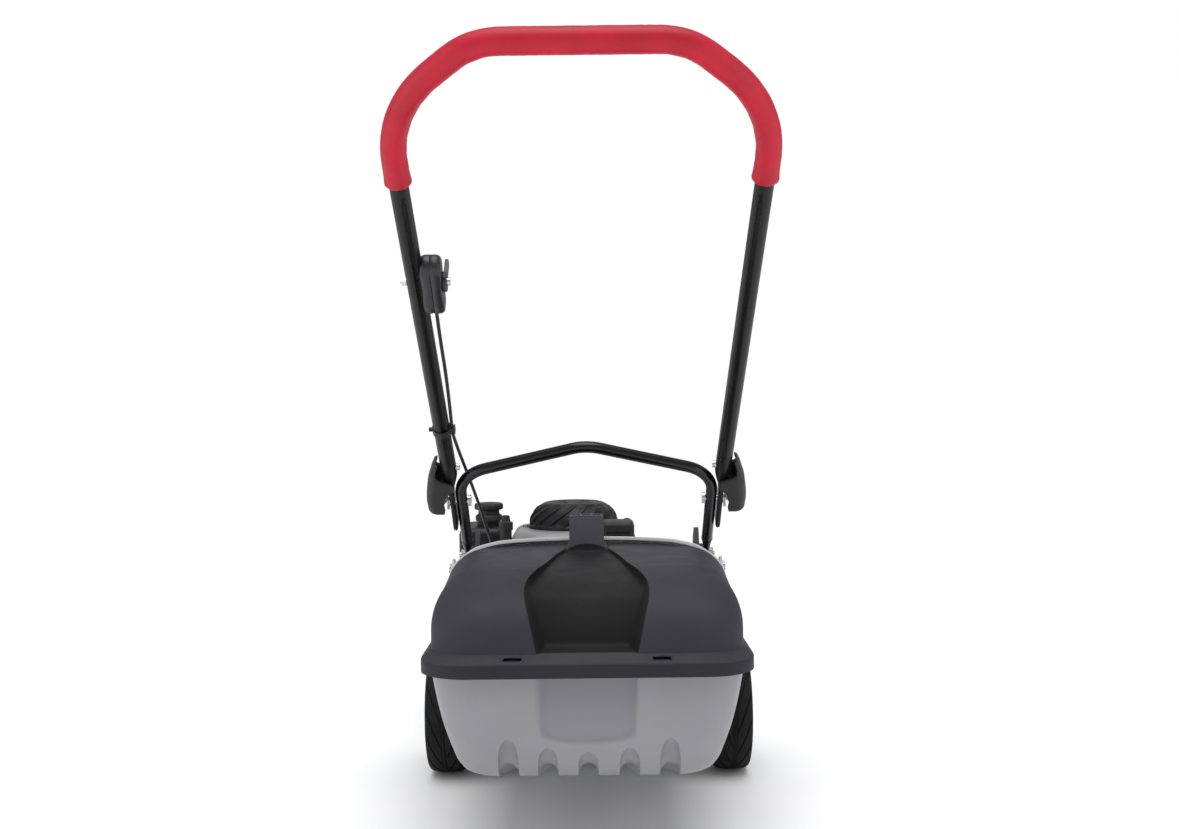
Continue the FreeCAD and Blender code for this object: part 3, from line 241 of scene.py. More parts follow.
class Nodes:
    """Small builder for one material's node tree."""

    def __init__(self, name):
        self.material = bpy.data.materials.new(name)
        self.material.use_nodes = True
        self.tree = self.material.node_tree
        self.shader = self.tree.nodes["Principled BSDF"]
        self.place = self.tree.nodes.new("ShaderNodeTexCoord").outputs["Object"]

    def add(self, kind, inputs=None, **values):
        """Node with linked or constant inputs."""
        node = self.tree.nodes.new(kind)
        for key, value in values.items():
            setattr(node, key, value)
        for key, value in (inputs or {}).items():
            if isinstance(value, bpy.types.NodeSocket):
                self.tree.links.new(value, node.inputs[key])
            else:
                node.inputs[key].default_value = value
        return node

    def noise(self, scale, detail=3.0, stretch=None, roughness=0.55):
        """Noise in object space, stretched along an axis if asked."""
        place = self.place
        if stretch:
            mapping = self.add("ShaderNodeMapping", {"Vector": place, "Scale": stretch})
            place = mapping.outputs["Vector"]
        inputs = {"Vector": place, "Scale": scale, "Detail": detail, "Roughness": roughness}
        return self.add("ShaderNodeTexNoise", inputs).outputs["Fac"]

    def cells(self, scale):
        """Distance to the nearest of many scattered points."""
        return self.add("ShaderNodeTexVoronoi", {"Vector": self.place, "Scale": scale}).outputs["Distance"]

    def maths(self, operation, *values):
        """Result of an arithmetic node."""
        return self.add("ShaderNodeMath", dict(enumerate(values)), operation=operation).outputs[0]

    def spread(self, value, low, high, start=0.3, end=0.7):
        """Value remapped to a range."""
        inputs = {"Value": value, "From Min": start, "From Max": end, "To Min": low, "To Max": high}
        return self.add("ShaderNodeMapRange", inputs).outputs["Result"]

    def mixed(self, share, low, high):
        """Colour between two."""
        node = self.add("ShaderNodeMix", data_type="RGBA")
        self.tree.links.new(share, node.inputs["Factor"])
        for key, value in (("A", low), ("B", high)):
            socket = [s for s in node.inputs if s.name == key and s.type == "RGBA"][0]
            if isinstance(value, bpy.types.NodeSocket):
                self.tree.links.new(value, socket)
            else:
                socket.default_value = (*value, 1)
        return [s for s in node.outputs if s.type == "RGBA"][0]

    def tinted(self, share, colour, low, high):
        """A colour made darker or lighter by noise."""
        return self.mixed(self.spread(share, 0, 1), shaded(colour, low), shaded(colour, high))

    def bump(self, height, strength, distance, before=None):
        """Bump on top of an earlier one."""
        inputs = {"Height": height, "Strength": strength, "Distance": distance * MM}
        if before:
            inputs["Normal"] = before
        return self.add("ShaderNodeBump", inputs).outputs["Normal"]

    def done(self, **inputs):
        """Connect the shader and return the material."""
        names = {"colour": "Base Color", "rough": "Roughness", "normal": "Normal", "metal": "Metallic",
                 "coat": "Coat Weight", "coat_rough": "Coat Roughness", "specular": "Specular IOR Level"}
        for key, value in inputs.items():
            socket = self.shader.inputs[names[key]]
            if isinstance(value, bpy.types.NodeSocket):
                self.tree.links.new(value, socket)
            elif key == "colour":
                socket.default_value = (*value, 1)
            else:
                socket.default_value = value
        return self.material


def shaded(colour, factor):
    """Lighter or darker version of a colour."""
    return tuple(min(1.0, channel * factor) for channel in colour)


def moulded(name, colour, rough, grain=900, depth=0.1, vary=0.12, specular=0.5):
    """Injection-moulded plastic: eroded grain, slow flow marks and small sheen changes."""
    n = Nodes(name)
    base = n.tinted(n.noise(9, 2), colour, 1 - vary, 1 + vary)
    tone = n.mixed(n.spread(n.noise(grain * 0.8, 2), 0, 0.55), base, shaded(colour, 1 - 1.6 * vary))
    normal = n.bump(n.noise(60, 2), 0.12, 0.5, n.bump(n.cells(grain), 0.35, depth))
    rough_now = n.spread(n.noise(35, 4), rough - 0.06, rough + 0.07)
    return n.done(colour=tone, rough=rough_now, normal=normal, specular=specular)


def painted(name, colour, rough, coat, peel=220, specular=0.5):
    """Powder coat or enamel: orange peel, faint dust and thin spots."""
    n = Nodes(name)
    base = n.tinted(n.noise(14, 3), colour, 0.85, 1.15)
    fleck = n.mixed(n.spread(n.noise(1500, 2), 0, 0.5, 0.6, 0.8), base, shaded(colour, 1.8))
    normal = n.bump(n.noise(1400, 2), 0.05, 0.05, n.bump(n.noise(peel, 1), 0.12, 0.25))
    rough_now = n.spread(n.noise(50, 3), rough - 0.04, rough + 0.06)
    return n.done(colour=fleck, rough=rough_now, normal=normal, coat=coat, coat_rough=0.12,
                  specular=specular)


def plated(name, colour, rough, lines=(40, 900, 900)):
    """Zinc-plated or machined steel with drawn lines and stains."""
    n = Nodes(name)
    drawn = n.noise(1, 3, stretch=lines)
    return n.done(colour=n.tinted(n.noise(45, 4), colour, 0.78, 1.1), metal=1.0,
                  rough=n.spread(drawn, rough - 0.07, rough + 0.12), normal=n.bump(drawn, 0.15, 0.05))


def cast(name, colour, rough):
    """Sand-cast alloy: coarse pits and a dull oxide."""
    n = Nodes(name)
    pits = n.noise(420, 4)
    return n.done(colour=n.tinted(n.noise(25, 4), colour, 0.7, 1.08), metal=0.85,
                  rough=n.spread(pits, rough - 0.08, rough + 0.12), normal=n.bump(pits, 0.5, 0.35))


def foam():
    """Red closed-cell foam: fine open pores painted darker as shade, soft sheen and squeezed darker
    patches.
    """
    n = Nodes("foam_red")
    colour = (0.50, 0.006, 0.026)
    pores = n.cells(1300)
    worn = n.noise(22, 4)
    base = n.tinted(worn, colour, 0.82, 1.12)
    # Darker colour in the pores is painted shade.
    tone = n.mixed(n.spread(pores, 0.25, 0, 0.0, 0.3), base, shaded(colour, 0.5))
    normal = n.bump(n.noise(70, 3), 0.12, 0.5, n.bump(pores, 0.35, 0.15))
    return n.done(colour=tone, rough=n.spread(worn, 0.44, 0.56), normal=normal, specular=0.36)


def rubber():
    """Tyre rubber: dull black with mould haze and dusty lows."""
    n = Nodes("rubber_tyre")
    haze = n.noise(30, 4)
    normal = n.bump(n.noise(120, 2), 0.15, 0.4, n.bump(n.noise(900, 3), 0.3, 0.12))
    return n.done(colour=n.tinted(haze, (0.010, 0.0095, 0.010), 0.7, 1.7),
                  rough=n.spread(haze, 0.6, 0.78), normal=normal, specular=0.15)


def exhaust():
    """Heat-resistant paint with straw and blue tints where it ran hot."""
    n = Nodes("steel_exhaust")
    heat = n.noise(38, 4)
    cool = n.mixed(n.spread(heat, 0, 1), (0.13, 0.125, 0.12), (0.24, 0.21, 0.17))
    tone = n.mixed(n.spread(n.noise(90, 4), 0, 0.5, 0.5, 0.8), cool, (0.16, 0.07, 0.03))
    return n.done(colour=tone, rough=n.spread(heat, 0.42, 0.65), metal=0.7,
                  normal=n.bump(n.noise(500, 3), 0.35, 0.2))


def ceramic():
    """Glazed white insulator with a faint crackle."""
    n = Nodes("ceramic_plug")
    tone = n.mixed(n.spread(n.noise(60, 3), 0, 1), (0.80, 0.79, 0.74), (0.88, 0.87, 0.84))
    return n.done(colour=tone, rough=n.spread(n.noise(90, 2), 0.12, 0.2), coat=0.6,
                  normal=n.bump(n.noise(300, 2), 0.08, 0.1))


def sheath():
    """Extruded cable sheath with faint spiral wrap marks."""
    n = Nodes("sheath_cable")
    return n.done(colour=n.tinted(n.noise(120, 3), (0.013, 0.013, 0.014), 0.8, 1.5),
                  rough=n.spread(n.noise(200, 2), 0.35, 0.5), normal=n.bump(n.noise(700, 2), 0.2, 0.08))


# Limits, in metres, between which the box body's colour changes to the painted shade of its rear recess
RECESS_SHADE_SIDE = (0.053, 0.0575)
RECESS_SHADE_BOTTOM = (0.135, 0.141)
RECESS_SHADE_REAR = (-0.38, -0.375)
RECESS_SHADE_SAG = -2.4


def tub_finish():
    """Light moulding whose rear recess is painted a little darker and bluer, as painted shade."""
    n = Nodes("plastic_body")
    split = n.add("ShaderNodeSeparateXYZ", {"Vector": n.place})
    across = n.maths("ABSOLUTE", split.outputs["X"])
    sag = n.maths("MULTIPLY", across, across)
    level = n.maths("MULTIPLY_ADD", sag, RECESS_SHADE_SAG, split.outputs["Z"])
    sides = n.spread(across, 1, 0, *RECESS_SHADE_SIDE)
    bottom = n.spread(level, 0, 1, *RECESS_SHADE_BOTTOM)
    rear = n.spread(split.outputs["Y"], 1, 0, *RECESS_SHADE_REAR)
    recess_shade = n.maths("MULTIPLY", n.maths("MULTIPLY", sides, bottom), rear)
    plain = n.mixed(n.spread(n.noise(9, 2), 0, 1), (0.262, 0.257, 0.268), (0.285, 0.28, 0.292))
    normal = n.bump(n.noise(60, 2), 0.12, 0.4, n.bump(n.cells(500), 0.3, 0.05))
    # The rear recess's darker, bluer colour is painted shade.
    return n.done(colour=n.mixed(recess_shade, plain, (0.212, 0.212, 0.232)),
                  rough=n.spread(n.noise(35, 4), 0.36, 0.49), normal=normal)


FINISH = {
    "grip_foam": foam(),
    "black_tube": painted("paint_black", (0.0095, 0.0092, 0.0088), 0.36, 0.03, specular=0.22),
    "black_plastic": moulded("plastic_black", (0.019, 0.0185, 0.018), 0.55, 1100, 0.12, specular=0.4),
    "lid_plastic": moulded("plastic_lid", (0.036, 0.036, 0.042), 0.6, 800, 0.12, specular=0.2),
    "body_plastic": tub_finish(),
    "flap_plastic": moulded("plastic_flap", (0.62, 0.625, 0.64), 0.4, 500, 0.05, vary=0.04),
    "tank_plastic": moulded("plastic_tank", (0.011, 0.011, 0.013), 0.42, 600, 0.08, specular=0.25),
    "deck_steel": painted("enamel_deck", (0.42, 0.43, 0.44), 0.3, 0.5),
    "shroud_plastic": moulded("plastic_shroud", (0.235, 0.228, 0.23), 0.42, 700, 0.08),
    "cast_alloy": cast("alloy_cast", (0.5, 0.5, 0.49), 0.5),
    "exhaust_steel": exhaust(),
    "bright_steel": plated("steel_zinc", (0.66, 0.66, 0.67), 0.26),
    "plug_ceramic": ceramic(),
    "cable_sheath": sheath(),
    "tyre_rubber": rubber(),
    "wheel_plastic": moulded("plastic_wheel", (0.045, 0.045, 0.047), 0.5, 700, 0.1),
}
# Dark finish of the carrying recess panel, partly its own darker moulding and partly painted shade; it
# also colours the painted-shade sheets behind the shoulder slots.
PANEL_AND_SHADE_FINISH = moulded("plastic_panel_and_shade", (0.015, 0.015, 0.016), 0.66, 1000, 0.08, specular=0.18)
# Darker copy of the lid plastic for the rim band: painted shade on its upright face.
RIM_SHADE_FINISH = moulded("plastic_rim_shade", (0.020, 0.020, 0.023), 0.55, 800, 0.1, specular=0.25)
NODE_FINISH = {
    "lower_handle": painted("paint_gloss", (0.003, 0.003, 0.0045), 0.24, 0.08, specular=0.35),
    # Lighter copy of the lid plastic for the tongue: painted light.
    "lid_handle": moulded("plastic_tongue_painted_light", (0.080, 0.080, 0.095), 0.6, 800, 0.12, specular=0.2),
    "cam_pins": painted("steel_blackened", (0.012, 0.012, 0.012), 0.4, 0.1),
    "throttle_lever": moulded("plastic_lever", (0.012, 0.012, 0.014), 0.38, 1000, 0.05),
    "throttle_housing_inner": moulded("plastic_control", (0.015, 0.015, 0.017), 0.36, 1000, 0.05),
    "throttle_housing_outer": moulded("plastic_control_back", (0.015, 0.015, 0.017), 0.36, 1000, 0.05),
}
SOFT_EDGES = {
    "lid_handle": 1.0, "air_filter_cover": 1.0, "oil_cap": 0.7, "starter_grip": 0.5,
    "handle_bracket_left": 0.7, "handle_bracket_right": 0.7, "blade": 0.6, "cylinder_head": 1.0,
    "carburettor": 1.0, "chassis_fasteners": 0.3,
}


def paint_frame():
    """Give every CAD node its slot's procedural material."""
    for name, node in NODES.items():
        if not node.data.materials:
            continue
        slot = node.data.materials[0].name.split(".")[0]
        finish = NODE_FINISH.get(name, FINISH.get(slot, FINISH["black_plastic"]))
        for material_slot in node.material_slots:
            material_slot.link = "OBJECT"
            material_slot.material = finish
        if name in SOFT_EDGES:
            bevelled(node, SOFT_EDGES[name], 40, harden_normals=True)


# ---------- camera, lights, floor ----------

WORLD_LIGHT = 0.42
OVERHEAD = 2.3
# Name, place, aim, power, width and height
SOFT_BOXES = [("left_box", (-1.9, -1.1, 1.0), (0, -0.1, 0.4), 9, 0.7, 1.6),
              ("right_box", (1.9, -1.1, 1.0), (0, -0.1, 0.4), 7, 0.7, 1.6),
              ("front_box", (0.2, 1.9, 1.5), (0, 0.2, 0.3), 3, 1.6, 0.8)]


def studio_world():
    """White surroundings for the camera, dimmer for the light that they give."""
    world = bpy.data.worlds.new("studio")
    world.use_nodes = True
    tree = world.node_tree
    ray = tree.nodes.new("ShaderNodeLightPath")
    choice = tree.nodes.new("ShaderNodeMixShader")
    tree.links.new(ray.outputs["Is Camera Ray"], choice.inputs[0])
    given = (tree.nodes.new("ShaderNodeBackground"), (0.96, 0.97, 1, 1), WORLD_LIGHT)
    seen = (tree.nodes["Background"], (1, 1, 1, 1), 1.0)
    for index, (node, colour, strength) in enumerate((given, seen), 1):
        node.inputs["Color"].default_value = colour
        node.inputs["Strength"].default_value = strength
        tree.links.new(node.outputs[0], choice.inputs[index])
    tree.links.new(choice.outputs[0], tree.nodes["World Output"].inputs["Surface"])
    bpy.context.scene.world = world


def add_lamp(name, kind, place, aim, energy, **values):
    """Light at a place in metres, turned towards a point."""
    light = bpy.data.lights.new(name, kind)
    light.energy = energy
    for key, value in values.items():
        setattr(light, key, value)
    lamp = linked(name, light)
    lamp.location = place
    lamp.rotation_euler = (Vector(aim) - Vector(place)).to_track_quat("-Z", "Y").to_euler()


def camera_and_light():
    """Camera behind the mower, one broad overhead source and the soft boxes."""
    scene = bpy.context.scene
    lens = bpy.data.cameras.new("camera")
    lens.sensor_width = 36
    lens.lens = 40.55
    camera = linked("camera", lens)
    camera.location = (0.0057, -1.917, 0.535)
    tilt = Matrix.Rotation(radians(89.3), 3, "X") @ Matrix.Rotation(radians(-0.65), 3, "Z")
    camera.rotation_euler = tilt.to_euler()
    scene.camera = camera
    scene.view_settings.view_transform = "Standard"
    studio_world()
    add_lamp("overhead", "SUN", (0, -0.8, 3), (0, 0, 0), OVERHEAD, angle=radians(55))
    for name, place, aim, energy, width, height in SOFT_BOXES:
        add_lamp(name, "AREA", place, aim, energy, shape="RECTANGLE", size=width, size_y=height)


def floor():
    """Large pale floor disc with a matt grain."""
    n = Nodes("floor_pale")
    tone = n.mixed(n.spread(n.noise(6, 3), 0, 1), (0.93, 0.93, 0.93), (0.95, 0.95, 0.95))
    rings = (600, 2000, 9000)
    spokes = circle(48)
    points = [(radius * cos(angle), radius * sin(angle), 0) for radius in rings for angle in spokes]
    faces = grid_faces(len(rings), len(spokes), closed=True) + [tuple(range(len(spokes)))]
    finish = n.done(colour=tone, rough=0.8, specular=0.2)
    new_piece("floor", points, faces, [finish], smooth=False)


# ---------- throttle cable ----------

CABLE_R = 2.3
CABLE_LEG = [(-179.2, 392, 0), (-179.2, 330, 0), (-176.4, 240, 1.5), (-178.4, 147.4, 0)]
CABLE_FREE = [(-178.4, 146, 0), (-175.8, 118, -2.4)]
CABLE_ENGINE = [(-165.5, -40, 425), (-153.5, 52, 361), (-146, 118, 312), (-142.2, 148.4, 291)]


def cable_curve(name, points):
    """Smooth round cable through a route, as a curve object."""
    curve = bpy.data.curves.new(name, "CURVE")
    curve.dimensions = "3D"
    curve.bevel_depth = CABLE_R * MM
    curve.bevel_resolution = 5
    curve.resolution_u = 16
    curve.use_fill_caps = True
    spline = curve.splines.new("NURBS")
    spline.points.add(len(points) - 1)
    for knot, point in zip(spline.points, points):
        knot.co = (*(point * MM), 1)
    spline.order_u = 3
    spline.use_endpoint_u = True
    curve.materials.append(FINISH["cable_sheath"])
    return linked(name, curve)


def throttle_cable():
    """Upper run fixed to the leg, lower run from there to the engine."""
    upper = cable_curve("cable_on_leg", [handle_point(*point) for point in CABLE_LEG])
    stand_for(upper, "upper_handle", "cable_sheath", "throttle_cable_upper")

    route = [handle_point(*point) for point in CABLE_FREE] + [Vector(point) for point in CABLE_ENGINE]
    curve = cable_curve("cable_route", route)
    bpy.context.view_layer.update()
    evaluated = curve.evaluated_get(bpy.context.evaluated_depsgraph_get())
    mesh = bpy.data.meshes.new_from_object(evaluated)
    lower = linked("cable_to_engine", mesh)
    bpy.data.objects.remove(curve)
    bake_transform(lower)
    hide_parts("throttle_cable_lower")


# ---------- handle ----------

TUBE_R = 11
GRIP_R = 14.5
LEG_FOOT = (189.6, 62)
LEG_TOP = (206, 658.6)
BAR_CORNER = (110, 740)
BEND_RADII = (0, 140, 80, 80, 140, 0)
GRIP_START = 565
GRIP_WOBBLE = 0.1225
# Radius and reach of the loops that round each end of the grip
GRIP_END = [(14.6, 1.5), (13.2, 2.4), (11.9, 2.2), (TUBE_R - 0.1, 1.2), (TUBE_R - 0.1, -4)]
# Pressed groove: its place round the tube in degrees, steps beside it, depth and run along the leg
GROOVE_TURN = 112
GROOVE_STEPS = (-17, -15, -13, -11, -9, -5, 0, 5, 9, 11, 13, 15, 17)
GROOVE_DEPTH = 2.6
GROOVE_RUN = (84, 548)
# Flattened foot: lowest end, where it turns round, and its half sizes
FOOT_S = -62
FOOT_ROUND = (26, 64)
FOOT_HALF = (3.5, 12)


def leg_x(s):
    """Half spacing of the legs at a height along them."""
    return lerp(LEG_FOOT[0], LEG_TOP[0], (s - LEG_FOOT[1]) / (LEG_TOP[1] - LEG_FOOT[1]))


def handle_path(low_s, step):
    """Centre line of the upper frame in handle coordinates, from right to left."""
    half = [(leg_x(low_s), low_s), LEG_TOP, BAR_CORNER]
    return rounded_path([Vector((x, s, 0)) for x, s in half + mirrored(half)], BEND_RADII, step)


def section_frames(path):
    """Place, run and sideways direction at each point of a flat path."""
    frames = []
    travelled = 0
    for index, point in enumerate(path):
        before = path[max(0, index - 1)]
        after = path[min(len(path) - 1, index + 1)]
        travelled += (point - before).length
        ahead = (after - before).normalized()
        outward = Vector((ahead.y, -ahead.x, 0))
        frames.append((point, travelled, outward))
    return frames


def beside(place, outward, across, below):
    """World point beside and below a place on the handle's centre line."""
    side = place + outward * across
    return handle_point(side.x, side.y, below)


def foam_grip():
    """Foam sleeve: crowned ends, thinned outer bends and soft folds inside them."""
    spokes = circle(40)
    frames = section_frames(handle_path(GRIP_START, 3.5))
    path = [place for place, _, _ in frames]
    total = frames[-1][1]
    wobble = np.random.default_rng(7).uniform(-1, 1, 64)
    rings = []
    for index, (place, travelled, outward) in enumerate(frames):
        chord = (path[max(0, index - 4)] + path[min(len(path) - 1, index + 4)]) / 2 - place
        bend = min(1.0, chord.length / 1.6) if 4 <= index < len(path) - 4 else 0
        end = min(travelled, total - travelled)
        swell = 1.1 * exp(-end / 7) + GRIP_WOBBLE * wobble[index % 64]
        ring = []
        for angle in spokes:
            fold = 0.35 * bend * max(0, -cos(angle)) ** 3 * sin(travelled / 4.2)
            radius = GRIP_R + swell + fold - 0.5 * bend * max(0, cos(angle))
            ring.append(beside(place, outward, cos(angle) * radius, sin(angle) * radius))
        rings.append(ring)
    for last, near in ((0, 1), (-1, -2)):
        push = (path[last] - path[near]).normalized()
        for radius, out in GRIP_END:
            place = path[last] + push * out
            ring = [beside(place, frames[last][2], cos(a) * radius, sin(a) * radius) for a in spokes]
            rings.insert(0 if last == 0 else len(rings), ring)
    piece = lofted("grip_sleeve", rings, "upper_handle", "grip_foam", "grip_foam", closed=True)


def leg_profile(s, angle):
    """Half-width across and below at one height of a leg, flattened at the foot."""
    low, high = FOOT_ROUND
    flat = 1 - ease((s - low) / (high - low))
    power = lerp(2, 5, flat)
    tip = ease((s - FOOT_S) / 9)
    half_x = lerp(TUBE_R, FOOT_HALF[0], flat) * lerp(0.45, 1, tip)
    half_n = lerp(TUBE_R, FOOT_HALF[1], flat) * lerp(0.55, 1, tip)
    across = copysign(abs(cos(angle)) ** (2 / power), cos(angle)) * half_x
    below = copysign(abs(sin(angle)) ** (2 / power), sin(angle)) * half_n
    groove = ease((s - GROOVE_RUN[0]) / 14) * ease((GROOVE_RUN[1] - s) / 10)
    offset = abs(degrees(angle) - GROOVE_TURN)
    if offset < GROOVE_STEPS[-1]:
        cut = GROOVE_DEPTH * groove * (1 - ease((offset - 9) / 8))
        across -= cos(angle) * cut
        below -= sin(angle) * cut
    return across, below


def upper_frame():
    """Upper tube with its pressed groove, flattened feet and plain bends."""
    angles = sorted(set(circle(36) + [radians(GROOVE_TURN + step) for step in GROOVE_STEPS]))
    foot_x, foot_top = LEG_FOOT
    right = [(Vector((foot_x, s, 0)), Vector((1, 0, 0))) for s in range(FOOT_S, foot_top, 4)]
    left = [(Vector((-foot_x, place.y, 0)), Vector((-1, 0, 0))) for place, _ in reversed(right)]
    middle = [(place, outward) for place, _, outward in section_frames(handle_path(foot_top, 4))]
    rings = [[beside(place, outward, *leg_profile(place.y, angle)) for angle in angles]
             for place, outward in right + middle + left]
    lofted("upper_frame", rings, "upper_handle", "black_tube", "upper_handle_tube", caps="az", closed=True)


# ---------- grass box ----------

LID_FRONT = -105
LID_CORNER = 56
DOME_HALF = 184
DOME_REAR = -409
DOME_BASE = 266
DOME_R = 65
DOME_SWEEP = 110
CAP_HALF = DOME_HALF - DOME_R
CAP_REAR = DOME_REAR + DOME_SWEEP
CAP_Z = DOME_BASE + DOME_R
CAP_CROWN = 4
TONGUE_REAR = -152
SHELL_WALL = 2.5
FLARE = 1.5
FLARE_SIDE = 8
DOME_POWER = 0.75
FLARE_REAR = -340
LIP = 1
LIP_SIDE = 1.5
LIP_REAR = -126
LID_LOW = 218
MOUTH_HALF = 150
MOUTH_CORNER = 40
MOUTH_SHOULDER = 272
# Rows of the lid: count in the rim, which gets painted shade, the one with the slots, first of the panel,
# count beyond it
RIM_SHADE_ROWS = 3
SLOT_ROW = 6
PANEL_FIRST = 10
PANEL_SHORT = 10
# Dark sheets behind the shoulder slots, painted shade for the box's inside: place across, lower and upper
# edge
SLOT_SHADE_X = (68, 98)
SLOT_SHADE_LOW = (-415.6, 233)
SLOT_SHADE_HIGH = (-407.5, 240.3)

# Carrying recess in the lid: half width, wall run and its own profile, by share of the way up
RECESS_HALF = [(0, 58.4), (0.05, 61.3), (0.134, 66.8), (0.2, 71.2), (0.27, 73.2), (0.345, 70),
               (0.418, 63.5), (0.585, 51.5), (0.72, 45.5), (0.863, 38), (1, 29)]
RECESS_WALL = [(0, 10.5), (0.15, 8), (0.27, 6), (0.42, 4), (0.7, 3), (1, 2)]
RECESS_Y = [(0, -372), (0.12, -366), (0.21, -357), (0.3, -340), (0.45, -300), (0.63, -250),
            (0.82, -200), (1, -152)]
RECESS_Z = [(0, 248), (0.12, 280), (0.21, 303), (0.3, 313), (0.45, 321.3), (0.63, 325.6),
            (0.82, 327.8), (1, 329.4)]
LEDGE_SHARES = [0.0, 0.05, 0.1, 0.5, 0.9, 0.97]
LEDGE_RISE = [0.0, 0.9, 0.2, 0.2, 0.4, 1.6]


def lid_rows():
    """Rows from the rim up to the front edge: z, half, rear, cap share, recess share, floor share."""
    rows = [(LID_LOW, 193.4, -418.4, 1), (218.8, 195, -420, 1), (226, 195, -420, 1), (233.6, 195, -420, 1),
            (235.2, 194.2, -419.2, 1)]
    for share in (0.12, 0.34, 0.74, 0.93):
        rows.append((lerp(235.2, 243.4, share), lerp(194.2, 185, share), lerp(-419.2, -410, share), 1))
    rows = [row + (None, 0) for row in rows]
    climb = []
    for index in range(len(LEDGE_SHARES)):
        climb.append((244 + 0.3 * index, DOME_HALF, DOME_REAR, 1, index))
    for z in (247, 250, 255, 260, 266):
        climb.append((z, DOME_HALF, DOME_REAR, 1, None))
    for index in range(1, 19):
        angle = pi / 2 * index / 18
        half = DOME_HALF - DOME_R * (1 - max(0.0, cos(angle)) ** DOME_POWER)
        rear = DOME_REAR + DOME_SWEEP * (1 - cos(angle))
        climb.append((DOME_BASE + DOME_R * sin(angle), half, rear, 1, None))
    behind_tongue = (TONGUE_REAR - LID_FRONT) / (CAP_REAR - LID_FRONT)
    for index in range(1, 11):
        climb.append((CAP_Z, CAP_HALF, CAP_REAR, lerp(1, behind_tongue, index / 10), None))
    lengths = run_lengths([(row[0], row_rear(row)) for row in climb])
    for row, length in zip(climb, lengths):
        floor_share = LEDGE_SHARES[row[4]] if row[4] is not None else 1
        rows.append(row[:4] + (length / lengths[-1], floor_share))
    for share in (0.8, 0.55, 0.45, 0.37, 0.3, 0.22, 0.14, 0.06, 0):
        rows.append((CAP_Z, CAP_HALF, CAP_REAR, behind_tongue * share, None, 0))
    return rows


def row_rear(row):
    """Rear edge of a row, which moves forward on the cap."""
    return LID_FRONT + (row[2] - LID_FRONT) * row[3]


def lid_columns():
    """Columns of the right half, from the middle round to the front."""
    kinds = {"floor": (0, 0.25, 0.5, 0.75, 0.95), "wall": (0, 0.12, 0.35, 0.65, 0.88, 1),
             "rear": (0.03, 0.08, 0.218, 0.357, 0.496, 0.65, 0.82, 1),
             "corner": [index / 9 for index in range(1, 10)],
             "side": (0.14, 0.28, 0.43, 0.57, 0.71, 0.83, 0.915, 0.94, 0.965, 0.985, 1)}
    return [(kind, share) for kind, shares in kinds.items() for share in shares]


def recess_width(row):
    """Half width of the recess and the run of its wall at a row."""
    share = row[4]
    if share is None:
        share = 0 if row[3] == 1 else 1
    return along(RECESS_HALF, share), along(RECESS_WALL, share)


def lid_point(row, column, widths):
    """Point of the lid's outer skin on its right half."""
    z, half, rear, cap, climb, floor_share = row
    kind, share = column
    edge, run = widths
    start = half - LID_CORNER
    if kind == "floor":
        x, y = (edge - run) * share, rear
    elif kind == "wall":
        x, y = lerp(edge - run, edge, share), rear
    elif kind == "rear":
        x, y = lerp(edge, start, share), rear
    elif kind == "corner":
        angle = pi / 2 * share
        x, y = start + LID_CORNER * sin(angle), rear + LID_CORNER * (1 - cos(angle))
    else:
        x, y = half, lerp(rear + LID_CORNER, LID_FRONT, share)
    if cap < 1:
        goal = x
        if kind == "corner":
            goal = lerp(start, half - 8, sin(pi / 2 * share))
        if kind == "side":
            goal = lerp(half - 8, half, share)
        x, y = lerp(goal, x, cap), lerp(LID_FRONT, y, cap)
        z += (1 - cap) * CAP_CROWN * (1 - (x / half) ** 2)
    if climb is not None and kind in ("floor", "wall"):
        sink = 1 if kind == "floor" else ease(1 - share)
        target_y, target_z = along(RECESS_Y, climb), along(RECESS_Z, climb)
        if floor_share < 1:
            target_y = lerp(DOME_REAR, RECESS_Y[0][1], floor_share)
            target_z = z + LEDGE_RISE[LEDGE_SHARES.index(floor_share)]
        y, z = lerp(y, target_y, sink), lerp(z, target_z, sink)
    return flared(x, y, z)


def flared(x, y, z):
    """Raise and widen the lid's front edge so that it fills the arch of the flap."""
    widen = ease((y - FLARE_REAR) / (LID_FRONT - FLARE_REAR))
    lip = ease((y - LIP_REAR) / 12)
    rise = FLARE * widen + LIP * lip
    side = FLARE_SIDE * widen + LIP_SIDE * lip
    out = max(0.0, abs(x) - CAP_HALF)
    up = max(0.0, z - DOME_BASE)
    reach = hypot(out, up)
    if reach < 1 or rise == 0:
        return (x, y, z)
    share = ease(up / 20)
    return (x + copysign(side * share * out / reach, x), y, z + rise * share * up / reach)


def lid_front_wall(outline):
    """Front wall between the lid's edge and the arched mouth."""
    mouth = [(MOUTH_HALF, LID_FRONT, LID_LOW), (MOUTH_HALF, LID_FRONT, MOUTH_SHOULDER)]
    for index in range(1, 9):
        angle = pi / 2 * index / 8
        x = MOUTH_HALF - MOUTH_CORNER + MOUTH_CORNER * cos(angle)
        mouth.append((x, LID_FRONT, MOUTH_SHOULDER + MOUTH_CORNER * sin(angle)))
    mouth += mirrored(mouth)
    lengths = run_lengths(mouth)
    edge_lengths = run_lengths(outline)
    inner = []
    for length in edge_lengths:
        place = length / edge_lengths[-1] * lengths[-1]
        inner.append(tuple(float(np.interp(place, lengths, values)) for values in zip(*mouth)))
    return outline + inner, grid_faces(2, len(outline))


